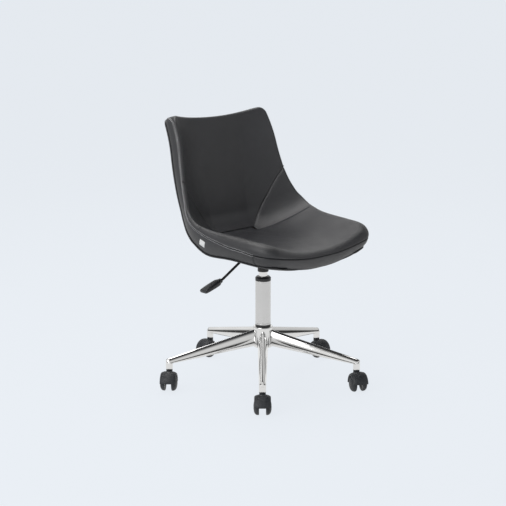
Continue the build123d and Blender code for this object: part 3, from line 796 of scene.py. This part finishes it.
def plan_share(at):
    """How far a section of the seat lies towards the front line, from 0 over the column to 1."""
    ahead = np.clip((plan_from - at.y) / (plan_from - front_line), 0, plan_end)
    return np.where(at.on_seat, ahead, 0.0)


def slide_of(at, x):
    """The front line bows forward in its middle, and the top line dips in its middle."""
    end_x = (1 - plan_end**plan_power) ** (1 / plan_power) * at.start_x
    near_front = ease((plan_share(at) / plan_end - bow_from) / bow_span)
    bow = near_front * (1 - plan_end) * (plan_from - front_line) * np.maximum(0, 1 - (x / end_x) ** 2)
    near_top = ease((at.angle - top_dip_from) / top_dip_span)
    dip = near_top * top_dip * (1 - np.minimum(top_dip_most, (x / top_dip_half_w) ** 2))
    return -bow - dip


def face(at, x):
    return point(at, x, dish(at, x), slide_of(at, x))


def corner_turn(at):
    """How far the edge has turned from the side to the front or top line, in radians."""
    ahead = plan_share(at)
    beside = (1 - ahead**plan_power) ** (1 / plan_power)
    front_pull = ahead ** (plan_power - 1) / (plan_from - front_line)
    side_pull = beside ** (plan_power - 1) / at.start_x
    top = np.clip((spine_run(at) - top_line + top_corner_r) / top_corner_r, 0, top_turn_most)
    return np.where(at.on_seat, np.arctan2(front_pull, side_pull), np.arcsin(top))


def edge_x(at):
    """Half-width of the padded face where its roll starts, with the rounded corners."""
    beside = (1 - plan_share(at) ** plan_power) ** (1 / plan_power)
    at_top = at.start_x - top_corner_r * (1 - np.cos(corner_turn(at)))
    return np.where(at.on_seat, at.start_x * beside, at_top)


def line_turn(at, x):
    """The edge's turn along the front or top line, which ends in what the corner has turned by then."""
    reach = np.abs(x) / edge_x(at)
    return math.pi / 2 - (math.pi / 2 - corner_turn(at)) * reach**line_turn_power


def rim(at, x, turn):
    """The roll's start, directions and sizes at points of the edge, which has turned by turn there."""
    made = SimpleNamespace()
    side = np.sign(x) * np.cos(turn)
    ahead = np.where(at.on_seat, -1.0, 1.0) * np.sin(turn)
    side, ahead, tilt = np.broadcast_arrays(side, ahead, at.tilt)
    made.out = np.stack([side, ahead * np.cos(tilt), ahead * np.sin(tilt)], axis=-1)
    made.up = np.stack([0 * tilt, -np.sin(tilt), np.cos(tilt)], axis=-1)
    made.start = face(at, x)
    span = at.start_x - at.flat
    run = np.maximum(0, np.abs(x) - at.flat) / span
    grade = at.power * at.start_h / span * run ** (at.power - 1)
    made.slope = np.arctan(grade * np.cos(turn))
    nose = np.where(at.angle < 0, np.clip(1 - (x / nose_half_w) ** 2, 0, 1), 0.0)
    share = ease(turn / (math.pi / 2))
    end_r = np.where(at.on_seat, nose_r, back_roll_r)
    made.radius = blend(at.roll_r, end_r, share)
    climb = np.interp(at.angle, seam_climb, (0, 1))
    drop = blend(seam_drop_seat, seam_drop_top, climb)
    drop = drop + (seam_drop_corner - seam_drop_seat) * ease((corner_from - at.angle) / corner_span)
    end_drop = blend(seam_drop_front, seam_drop_nose, nose)
    end_drop = np.where(at.on_seat, end_drop, top_depth - top_seam_lap)
    drop = blend(drop, end_drop, share)
    made.bend = np.arccos(np.clip(1 - drop / made.radius, 0, 1))
    made.strip = np.maximum(least_strip, drop - made.radius)
    low = (1 - np.tanh((at.angle - border_turn) / border_turn_soft)) / 2
    depth = blend(border_back, border_seat, low)
    depth = depth + border_hip * bell(at.angle, border_hip_angle, border_hip_spread)
    end_depth = blend(border_front[1], border_front[0], nose)
    end_depth = np.where(at.on_seat, end_depth, top_depth)
    made.border = np.maximum(least_border, blend(depth, end_depth, share) - drop)
    lean = blend(border_lean, border_lean_top, ease((at.angle - lean_from) / lean_span))
    end_lean = np.where(at.on_seat, border_lean_front, border_lean_top)
    made.lean = blend(lean, end_lean, share) + at.flare
    return made


def roll(edge, share):
    """Points of the roll and its strip, from the face (share 0) to the seam (share 1)."""
    radius = edge.radius[..., None]
    arc = edge.radius * (edge.slope + edge.bend)
    along = share * (arc + edge.strip)
    turn = (np.minimum(along, arc) / edge.radius - edge.slope)[..., None]
    slope = edge.slope[..., None]
    normal = edge.up * np.cos(slope) - edge.out * np.sin(slope)
    centre = edge.start - normal * radius
    down = np.clip((along - arc) / edge.strip, 0, 1)[..., None]
    strip = edge.strip[..., None]
    place = centre + radius * (edge.up * np.cos(turn) + edge.out * np.sin(turn))
    return place - edge.up * strip * down - edge.out * seam_inset * down**2


def band(edge, share):
    """Points of the border's swelling face, from the seam (share 0) to its lower or rear edge (share 1)."""
    seam = roll(edge, np.ones_like(edge.radius))
    depth = edge.border[..., None]
    lean = edge.lean[..., None]
    swell = border_swell * np.minimum(1, depth / border_full) * 4 * share * (1 - share)
    return seam - edge.up * depth * share - edge.out * (lean * share - swell)


def groove(points, edge, gap):
    """Draws points in along the edge's outward direction, the more the nearer they are to a seam."""
    return points - edge.out * (groove_depth * np.exp(-gap / groove_w))[..., None]


# The leatherette: black, with a fine pebbled grain, a satin top coat and a little wear where it is rubbed.
# Four panels and the borders are cut from it and sewn, and the rear is one more panel.
hide_black = (0.0152, 0.0161, 0.0204, 1.0)
hide_worn = (0.028, 0.029, 0.030, 1.0)
hide_grain_scale = 650.0
hide_warp = (0.004, 0.004, 0.004)
hide_valley_w = 0.25
hide_valley_dull = 0.12
hide_tone = (9.0, 0.9, 1.12)
hide_wear = (70.0, 0.1, 0.7)
hide_gloss = (22.0, 0.34, 0.42)


def grain_group():
    """Pebbled grain of a coated cloth: cells of uneven size between fine valleys."""
    group, given, result = shader_group(
        "hide_grain",
        {"Vector": "NodeSocketVector", "Scale": number},
        ["Height", "Valley"],
    )
    warp = add(group, "ShaderNodeTexNoise", {"Vector": given["Vector"], "Scale": 160.0, "Detail": 2.0})
    warped = {0: warp.outputs["Color"], 1: hide_warp}
    shift = add(group, "ShaderNodeVectorMath", warped, operation="MULTIPLY")
    moved = add(group, "ShaderNodeVectorMath", {0: given["Vector"], 1: shift.outputs[0]})
    pebbles = {"Vector": moved.outputs[0], "Scale": given["Scale"]}
    cells = add(group, "ShaderNodeTexVoronoi", pebbles, feature="DISTANCE_TO_EDGE")
    heights = {"Value": cells.outputs["Distance"], 1: 0.0, 2: hide_valley_w}
    pebble = add(group, "ShaderNodeMapRange", heights, interpolation_type="SMOOTHSTEP").outputs[0]
    group.links.new(pebble, result.inputs["Height"])
    group.links.new(calc(group, "SUBTRACT", 1.0, pebble), result.inputs["Valley"])
    return group


hide_grain = grain_group()


def hide(name, colour, worn):
    """Coated cloth: a cloudy tone, worn where its rub attribute says so, under a satin coat."""
    finish, tree, where = start_finish(name)
    pebbles = {"Vector": where, "Scale": hide_grain_scale}
    grain = add(tree, "ShaderNodeGroup", pebbles, node_tree=hide_grain).outputs
    tone = cloudy_tone(tree, where, colour, *hide_tone)
    rub = add(tree, "ShaderNodeAttribute", attribute_name="rub").outputs["Fac"]
    rubbed = calc(tree, "MULTIPLY", rub, cloudy(tree, where, *hide_wear))
    tone = tone_between(tree, rubbed, tone, worn)
    gloss = cloudy(tree, where, *hide_gloss)
    coat = calc(tree, "MULTIPLY_ADD", grain["Valley"], hide_valley_dull, gloss)
    bump = add(tree, "ShaderNodeBump", {"Height": grain["Height"], "Strength": 0.35, "Distance": 0.0003})
    shading = {"Base Color": tone, "Roughness": coat, "Normal": bump.outputs[0]}
    principled(tree, {**shading, "Specular IOR Level": 0.75})
    return finish


leatherette = hide("leatherette", hide_black, hide_worn)


# The seams between the panels, as angle and share of the half-section from its middle to the side seam:
# the foot of the back, a slanted seam beside it and the crease between wing and seat.
foot_angle = 41.3
foot_x = 0.075
slant_middle = (55.5, 0.160)
slant_crest_angle = 69.0
slant_end_angle = 70.6
tip_angle = 38.3
tip_x = 0.073
crease_end_angle = 33.0
tip_step = 0.03
seam_pull = 0.0036
seam_reach = 0.0034
crease_pull = 0.0009
crease_reach = 0.009
slant_points = 160
foot_points = 80
crease_points = 120
fan_steps = 3000
front_search = (-30, 20)
top_search = (75, 112)
top_stop_gap = 0.03
panel_thickness = 0.004
panel_columns = 91
roll_steps = 20
corner_least = 0.02
half_section_w = 0.3
rub_middle = 0.35
rub_spread = 0.22


def lengths(at):
    """Lengths across a half-section: the face, and the roll with its strip."""
    edge = rim(at, at.start_x, np.zeros_like(at.angle))
    face_run = at.flat + np.hypot(at.start_x - at.flat, at.start_h)
    return face_run, edge.radius * (edge.slope + edge.bend) + edge.strip, edge


def skin(angle, share):
    """Points of the skin at an angle and a share (-1 to 1) of the half-section up to the side seam."""
    at = station(angle)
    span, rest, _ = lengths(at)
    along = np.abs(share) * (span + rest)
    inside = face(at, np.sign(share) * np.minimum(along / span, 1) * at.start_x)
    edge = rim(at, np.where(share < 0, -1.0, 1.0) * at.start_x, np.zeros_like(at.angle * share))
    outside = roll(edge, np.clip((along - span) / rest, 0, 1))
    return np.where((along > span)[..., None], outside, inside)


def share_at(angle, x):
    """The share of the half-section at a distance x from the middle, on the padded face."""
    at = station(angle)
    span, rest, _ = lengths(at)
    return x / at.start_x * span / (span + rest)


def crest_share(angle):
    """The share of the half-section at the top of the roll."""
    at = station(angle)
    span, rest, edge = lengths(at)
    return (span + edge.radius * edge.slope) / (span + rest)


foot_share = share_at(foot_angle, foot_x)
tip_share = share_at(tip_angle, tip_x)
slant_shares = [foot_share, share_at(*slant_middle), crest_share(slant_crest_angle), 1.0]
slant_angles = [foot_angle, slant_middle[0], slant_crest_angle, slant_end_angle]


def slant(angle):
    """The slanted seam's share at an angle."""
    return np.interp(angle, slant_angles, slant_shares)


def crease(share):
    """Angle of the seat's rear limit at a share of the half-section."""
    share = np.abs(share)
    run = np.clip((share - tip_share) / (1 - tip_share), 0, 1)
    side = blend(tip_angle, crease_end_angle, run)
    step = ease((share - tip_share + tip_step) / tip_step)
    return blend(foot_angle, side, step)


def line_tree(lines):
    """Close points along lines on both sides of the chair, to find how far a place lies from them."""
    places = np.concatenate([skin(angles, side * shares) for angles, shares in lines for side in (-1, 1)])
    made = KDTree(len(places))
    for index, place in enumerate(places):
        made.insert(place, index)
    made.balance()
    return made


slant_line = np.linspace(foot_angle, slant_end_angle, slant_points)
foot_line = np.linspace(0, tip_share, foot_points)
crease_line = np.linspace(tip_share, 1, crease_points)
seam_tree = line_tree([(slant_line, slant(slant_line)), (crease(foot_line), foot_line)])
crease_tree = line_tree([(crease(crease_line), crease_line)])
drawn_in = [(seam_tree, seam_pull, seam_reach), (crease_tree, crease_pull, crease_reach)]


def realised(piece, made):
    """Gives a piece the mesh that its modifier makes, without the modifier."""
    graph = bpy.context.evaluated_depsgraph_get()
    mesh = bpy.data.meshes.new_from_object(piece.evaluated_get(graph))
    piece.modifiers.remove(made)
    piece.data = mesh
    return mesh


def thick(piece, thickness):
    """Closes a sheet inward to its thickness."""
    made = piece.modifiers.new("thickness", "SOLIDIFY")
    made.thickness = thickness
    made.offset = -1
    realised(piece, made)


def sewn(name, points, faces, seams=drawn_in, rubbed=None):
    """A panel of the bucket: drawn in at the seams and closed to its thickness."""
    piece = surface(name, points, faces, leatherette, "seat")
    mesh = piece.data
    normals = [v.normal.copy() for v in mesh.vertices]
    for vertex, normal in zip(mesh.vertices, normals):
        pulls = [depth * math.exp(-tree.find(vertex.co)[2] / width) for tree, depth, width in seams]
        vertex.co -= normal * max(pulls, default=0.0)
    worn = mesh.attributes.new("rub", "FLOAT", "POINT")
    if rubbed is not None:
        worn.data.foreach_set("value", np.asarray(rubbed, np.float32))
    thick(piece, panel_thickness)
    return piece


def edge_angles(start, stop, count):
    """Angles that space the edge's points evenly."""
    fine = np.linspace(start, stop, fan_steps)
    at = station(fine)
    steps = np.linalg.norm(np.diff(face(at, edge_x(at)), axis=0), axis=1)
    run = np.concatenate([[0], np.cumsum(steps)])
    return np.interp(np.linspace(0, run[-1], count), run, fine)


def angle_where(values, angles, wanted):
    order = np.argsort(values)
    return float(np.interp(wanted, values[order], angles[order]))


seat_fan = np.linspace(*front_search, fan_steps)
back_fan = np.linspace(*top_search, fan_steps)
front_stop = angle_where(station(seat_fan).y, seat_fan, plan_from - plan_end * (plan_from - front_line))
top_stop = angle_where(spine_run(station(back_fan)), back_fan, top_line - top_stop_gap * top_corner_r)


def rimmed(name, angles, half_shares, shift, flip):
    """A panel with a roll on both sides and at its end: rows of its face, with the roll round them."""
    columns = panel_columns
    across = np.linspace(-1, 1, columns)
    ring = (np.arange(roll_steps) + 1) / roll_steps
    rows = []
    left = []
    right = []
    for angle, half_share in zip(angles, half_shares):
        at = station(angle)
        turn = corner_turn(at)
        if turn > corner_least:
            rows.append(face(at, across * edge_x(at)))
            for x, side in ((-edge_x(at), left), (edge_x(at), right)):
                edge = rim(at, np.full(roll_steps, x), turn)
                side.append(groove(roll(edge, ring), edge, (1 - ring) * (edge.strip + edge.radius)))
            continue
        span, rest, _ = lengths(at)
        start = span / (span + rest) * half_share
        shares = across * start
        rows.append(skin(angle + shift(angle, shares), shares))
        outer = blend(start, half_share, ring)
        edge = rim(at, np.full(roll_steps, at.start_x), 0.0)
        gap = (1 - ring) * rest + (1 - half_share) * half_section_w
        for sign, side in ((-1, left), (1, right)):
            edge.out = np.tile([sign, 0.0, 0.0], (roll_steps, 1))
            side.append(groove(skin(angle + shift(angle, outer), sign * outer), edge, gap))
    at = station(np.full(columns - 2, angles[-1]))
    x = across[1:-1] * edge_x(station(angles[-1]))
    edge = rim(at, x, line_turn(at, x))
    end = [roll(edge, np.full(columns - 2, share)) for share in ring]
    end = [groove(p, edge, (1 - share) * (edge.strip + edge.radius)) for p, share in zip(end, ring)]
    count = len(rows)
    loop = [i * columns for i in range(count)]
    loop += [(count - 1) * columns + j for j in range(1, columns - 1)]
    loop += [i * columns + columns - 1 for i in reversed(range(count))]
    sides = np.concatenate([np.array(left), np.swapaxes(np.array(end), 0, 1), np.array(right)[::-1]])
    faces = grid_faces(count, columns, flip)
    first = count * columns
    for l in range(len(loop) - 1):
        inner = [loop[l], loop[l + 1]]
        for k in range(roll_steps):
            outer = [first + l * roll_steps + k, first + (l + 1) * roll_steps + k]
            corners = [inner[0], outer[0], outer[1], inner[1]]
            faces.append(corners[::-1] if flip else corners)
            inner = outer
    points = np.concatenate([np.concatenate(rows), sides.reshape(-1, 3)])
    rubbed = np.zeros(len(points))
    rubbed[first:] = np.tile(bell(ring, rub_middle, rub_spread), len(loop))
    return sewn(name, points, faces, rubbed=rubbed)


# The seat panel, foam under leatherette, rolls over both crests and the nose. Its rear edge is sewn
# to the back's foot in the middle, and runs out along a crease beside it.
seat_rows = 56
shift_from = 2
seat_angles = edge_angles(crease_end_angle, front_stop, seat_rows)


def seat_shift(angle, shares):
    """The panel's rows bend towards the crease, the more the nearer they are to it."""
    near = ease((angle - shift_from) / (crease_end_angle - shift_from))
    return (crease(shares) - crease_end_angle) * near


seat = rimmed("seat_cushion", seat_angles, np.ones(seat_rows), seat_shift, False)
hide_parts("seat_pad")

# The back panel, sewn to the seat at its foot and to the wings along two slanted seams.
# It rolls over the top edge and the upper crests.
back_rows = 84
back_angles = edge_angles(foot_angle, top_stop, back_rows)


def no_shift(angle, shares):
    return 0.0 * shares


back_shares = np.where(back_angles < slant_end_angle, slant(back_angles), 1.0)
back = rimmed("back_cushion", back_angles, back_shares, no_shift, True)
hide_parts("back_pad")

# The wings, one on each side, fill the corner between seat and back and roll over the hip crest.
# Each is one piece of leatherette over foam, sewn to the seat and the back.
wing_columns = 60
wing_rows = 64
wing_crowding = 0.75
wing_rub_spread = 0.05


def graded(count):
    """Numbers from 0 to 1 that lie closer together near both ends."""
    even = np.linspace(0, 1, count)
    return even + wing_crowding * np.sin(2 * math.pi * even) / (-2 * math.pi)


for side, label in ((-1, "right"), (1, "left")):
    shares = np.linspace(foot_share, 1, wing_rows)
    lower = crease(shares)
    upper = np.interp(shares, slant_shares, slant_angles)
    share_rows = np.repeat(shares[:, None], wing_columns, axis=1)
    angle_rows = blend(lower[:, None], upper[:, None], graded(wing_columns))
    places = skin(angle_rows, side * share_rows).reshape(-1, 3)
    crest = bell(share_rows, crest_share(angle_rows), wing_rub_spread).ravel()
    faces = grid_faces(wing_rows, wing_columns, side < 0)
    wing = sewn(f"wing_cushion_{label}", places, faces, rubbed=crest)
    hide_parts(f"wing_pad_{label}")


# The shell: a bent plywood board inside the bucket, which carries the foam and takes the mounting screws.
# It shows nowhere, and ends a little inside the edges of the panels.
board_depth = 0.020
board_inset = 0.030
board_thickness = 0.009
board_columns = 31
board_rows = 60
board_front_gap = 3
board_top_gap = 4
plywood_tan = (0.42, 0.27, 0.14, 1.0)

plywood = moulded("plywood", plywood_tan, (0.5, 0.65), 400.0, 0.0003)
board_angles = np.linspace(front_stop + board_front_gap, top_stop - board_top_gap, board_rows)
board_points = []
for angle in board_angles:
    at = station(angle)
    x = np.linspace(-1, 1, board_columns) * (edge_x(at) - board_inset)
    board_points.append(point(at, x, dish(at, x) - board_depth))
board_faces = grid_faces(board_rows, board_columns, True)
board = surface("shell_board", np.concatenate(board_points), board_faces, plywood, "seat")
thick(board, board_thickness)
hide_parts("seat_shell")


# The borders: bands of leatherette over the shell's sides and front, sewn to the panels and to each other.
# They lean in towards the shell's lower edge, where the rear cover starts.
side_front_y = -0.196
border_steps = 14
side_search_to = 10
side_rows = 150
front_corner_rows = 30
front_columns = 70
border_shares = np.linspace(0, 1, border_steps)


def edge_band(edge, shares, joint=None):
    """Rows of points over the border along an edge; joint is the index of the seam at its end."""
    rows = []
    middle = band(edge, 0.5)
    for share in shares:
        near = np.minimum(share, 1 - share) * edge.border
        if joint is not None:
            near = np.minimum(near, np.linalg.norm(middle - middle[joint], axis=1))
        rows.append(groove(band(edge, share), edge, near))
    return np.stack(rows, axis=1)


def side_edge(angles, side):
    at = station(angles)
    return rim(at, side * edge_x(at), corner_turn(at))


edge_fan = np.linspace(front_stop, side_search_to, fan_steps)
side_start = angle_where(band(side_edge(edge_fan, -1), 0.5)[:, 1], edge_fan, side_front_y)
side_angles = edge_angles(side_start, top_stop, side_rows)
for side, label in ((-1, "right"), (1, "left")):
    places = edge_band(side_edge(side_angles, side), border_shares, 0)
    faces = grid_faces(len(side_angles), border_steps, side > 0)
    border = sewn(f"side_band_{label}", places.reshape(-1, 3), faces, seams=())
    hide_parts(f"side_border_{label}")

front_angles = edge_angles(side_start, front_stop, front_corner_rows)
front_x = np.linspace(-1, 1, front_columns)[1:-1] * edge_x(station(front_stop))
front_at = station(np.full(len(front_x), front_stop))
front_edge = rim(front_at, front_x, line_turn(front_at, front_x))
front_rows = [
    edge_band(side_edge(front_angles, -1), border_shares, 0),
    edge_band(front_edge, border_shares),
    edge_band(side_edge(front_angles[::-1], 1), border_shares, -1),
]
places = np.concatenate(front_rows)
faces = grid_faces(len(places), border_steps, True)
front_band = sewn("front_band", places.reshape(-1, 3), faces, seams=())
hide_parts("front_border")


# The rear cover: one panel of leatherette over the back and underside of the shell.
# It is drawn tight and sewn to the borders all round.
cover_depth = 0.045
cover_power = 3
cover_columns = 61
cover_row_count = 120
cover_angles = edge_angles(front_stop, top_stop, cover_row_count)
across = np.linspace(-1, 1, cover_columns)
cover_rows = []
for index, angle in enumerate(cover_angles):
    at = station(angle)
    if index in (0, len(cover_angles) - 1):
        x = across * edge_x(at)
        row_at = station(np.full(cover_columns, angle))
        cover_rows.append(band(rim(row_at, x, line_turn(row_at, x)), 1.0))
        continue
    ends = [band(side_edge(np.array([angle]), side), 1.0)[0] for side in (-1, 1)]
    up = np.array([0.0, -math.sin(at.tilt), math.cos(at.tilt)])
    along = np.array([0.0, math.cos(at.tilt), math.sin(at.tilt)])
    middle = np.array([0.0, at.y, at.z])
    sag = float(np.dot((ends[0] + ends[1]) / 2 - middle, up)) + cover_depth
    slide = slide_of(at, across * edge_x(at)) - slide_of(at, edge_x(at))
    row = blend(*ends, ((across + 1) / 2)[:, None]) + along * slide[:, None]
    cover_rows.append(row - up * (sag * (1 - np.abs(across) ** cover_power))[:, None])
places = np.concatenate(cover_rows)
cover = sewn("rear_panel", places, grid_faces(len(cover_angles), cover_columns, True), seams=())
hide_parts("rear_cover")


# Stitches: light grey thread in two rows along each side seam, and dark thread under the front seam.
# Each stitch is a short rounded length of thread, set along the seam by a node group.
thread_grey = (0.46, 0.46, 0.47, 1.0)
thread_dark = (0.05, 0.05, 0.052, 1.0)
stitch_sizes = {"Stitch Pitch": 0.0056, "Stitch Length": 0.0042, "Thread Radius": 0.0009}
stitch_gap = 0.0030


def stitch_group():
    """Short rounded lengths of thread, set along the edges of a mesh."""
    group = bpy.data.node_groups.new("stitch_row", "GeometryNodeTree")
    group.interface.new_socket("Line", in_out="INPUT", socket_type="NodeSocketGeometry")
    for key, value in stitch_sizes.items():
        socket = group.interface.new_socket(key, in_out="INPUT", socket_type="NodeSocketFloat")
        socket.default_value = value
    group.interface.new_socket("Thread", in_out="INPUT", socket_type="NodeSocketMaterial")
    group.interface.new_socket("Stitches", in_out="OUTPUT", socket_type="NodeSocketGeometry")
    given = add(group, "NodeGroupInput").outputs
    result = add(group, "NodeGroupOutput")
    curve = add(group, "GeometryNodeMeshToCurve", {"Mesh": given["Line"]})
    spacing = {"Curve": curve.outputs[0], "Length": given["Stitch Pitch"]}
    even = add(group, "GeometryNodeResampleCurve", spacing, mode="LENGTH")
    ball = add(group, "GeometryNodeMeshUVSphere", {"Segments": 8, "Rings": 6, "Radius": 1.0})
    half = calc(group, "MULTIPLY", given["Stitch Length"], 0.5)
    radius = given["Thread Radius"]
    size = add(group, "ShaderNodeCombineXYZ", {0: half, 1: radius, 2: radius})
    tangent = add(group, "GeometryNodeInputTangent")
    aligned = add(group, "FunctionNodeAlignRotationToVector", {"Vector": tangent.outputs[0]}, axis="X")
    parts = {"Points": even, "Instance": ball, "Rotation": aligned, "Scale": size}
    sockets = {key: made.outputs[0] for key, made in parts.items()}
    placed = add(group, "GeometryNodeInstanceOnPoints", sockets)
    real = add(group, "GeometryNodeRealizeInstances", {0: placed.outputs[0]})
    dyed = {"Geometry": real.outputs[0], "Material": given["Thread"]}
    coloured = add(group, "GeometryNodeSetMaterial", dyed)
    group.links.new(coloured.outputs[0], result.inputs[0])
    return group


stitch_row = stitch_group()
light_thread = moulded("light_thread", thread_grey, (0.55, 0.75), 2500.0, 0.0001)
dark_thread = moulded("dark_thread", thread_dark, (0.45, 0.65), 2500.0, 0.0001)


def stitches(name, lines, body, thread):
    """Rows of stitches along lines of points, as one piece."""
    points = np.concatenate(lines)
    edges = []
    first = 0
    for line in lines:
        edges += [(first + i, first + i + 1) for i in range(len(line) - 1)]
        first += len(line)
    path = bpy.data.meshes.new(name)
    path.from_pydata([tuple(p) for p in points], edges, [])
    piece = bpy.data.objects.new(name, path)
    scene.collection.objects.link(piece)
    made = piece.modifiers.new("stitches", "NODES")
    made.node_group = stitch_row
    given = {**stitch_sizes, "Thread": thread}
    for item in stitch_row.interface.items_tree:
        if item.name in given:
            made[item.identifier] = given[item.name]
    mesh = realised(piece, made)
    mesh.polygons.foreach_set("use_smooth", [True] * len(mesh.polygons))
    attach(piece, body)


rows = []
for side in (-1, 1):
    edge = side_edge(side_angles, side)
    above = 1 - stitch_gap / (edge.radius * (edge.slope + edge.bend) + edge.strip)
    rows.append(roll(edge, above))
    rows.append(band(edge, (stitch_gap / edge.border)[:, None]))
front_seam = [side_edge(front_angles, -1), front_edge, side_edge(front_angles[::-1], 1)]
front_row = np.concatenate([band(e, (stitch_gap / e.border)[:, None]) for e in front_seam])
stitches("side_stitches", rows, "seat", light_thread)
stitches("front_stitches", [front_row], "seat", dark_thread)


# The tag: a small blank label of white woven cloth, cut from a ribbon.
# It is sewn flat to the border of one side, near the hip.
tag_angles = (25.6, 29.8)
tag_span = (0.30, 0.66)
tag_thickness = 0.0008
tag_steps = 8
tag_white = (0.70, 0.70, 0.69, 1.0)
tag_cloth = moulded("tag_cloth", tag_white, (0.8, 0.9), 1800.0, 0.0002)
tag_edge = side_edge(np.linspace(*tag_angles, tag_steps), -1)
tag_rows = edge_band(tag_edge, np.linspace(*tag_span, tag_steps)) + tag_thickness * tag_edge.out[:, None]
tag_faces = grid_faces(tag_steps, tag_steps)
tag = surface("tag", tag_rows.reshape(-1, 3), tag_faces, tag_cloth, "seat")
thick(tag, tag_thickness)
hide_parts("side_tag")
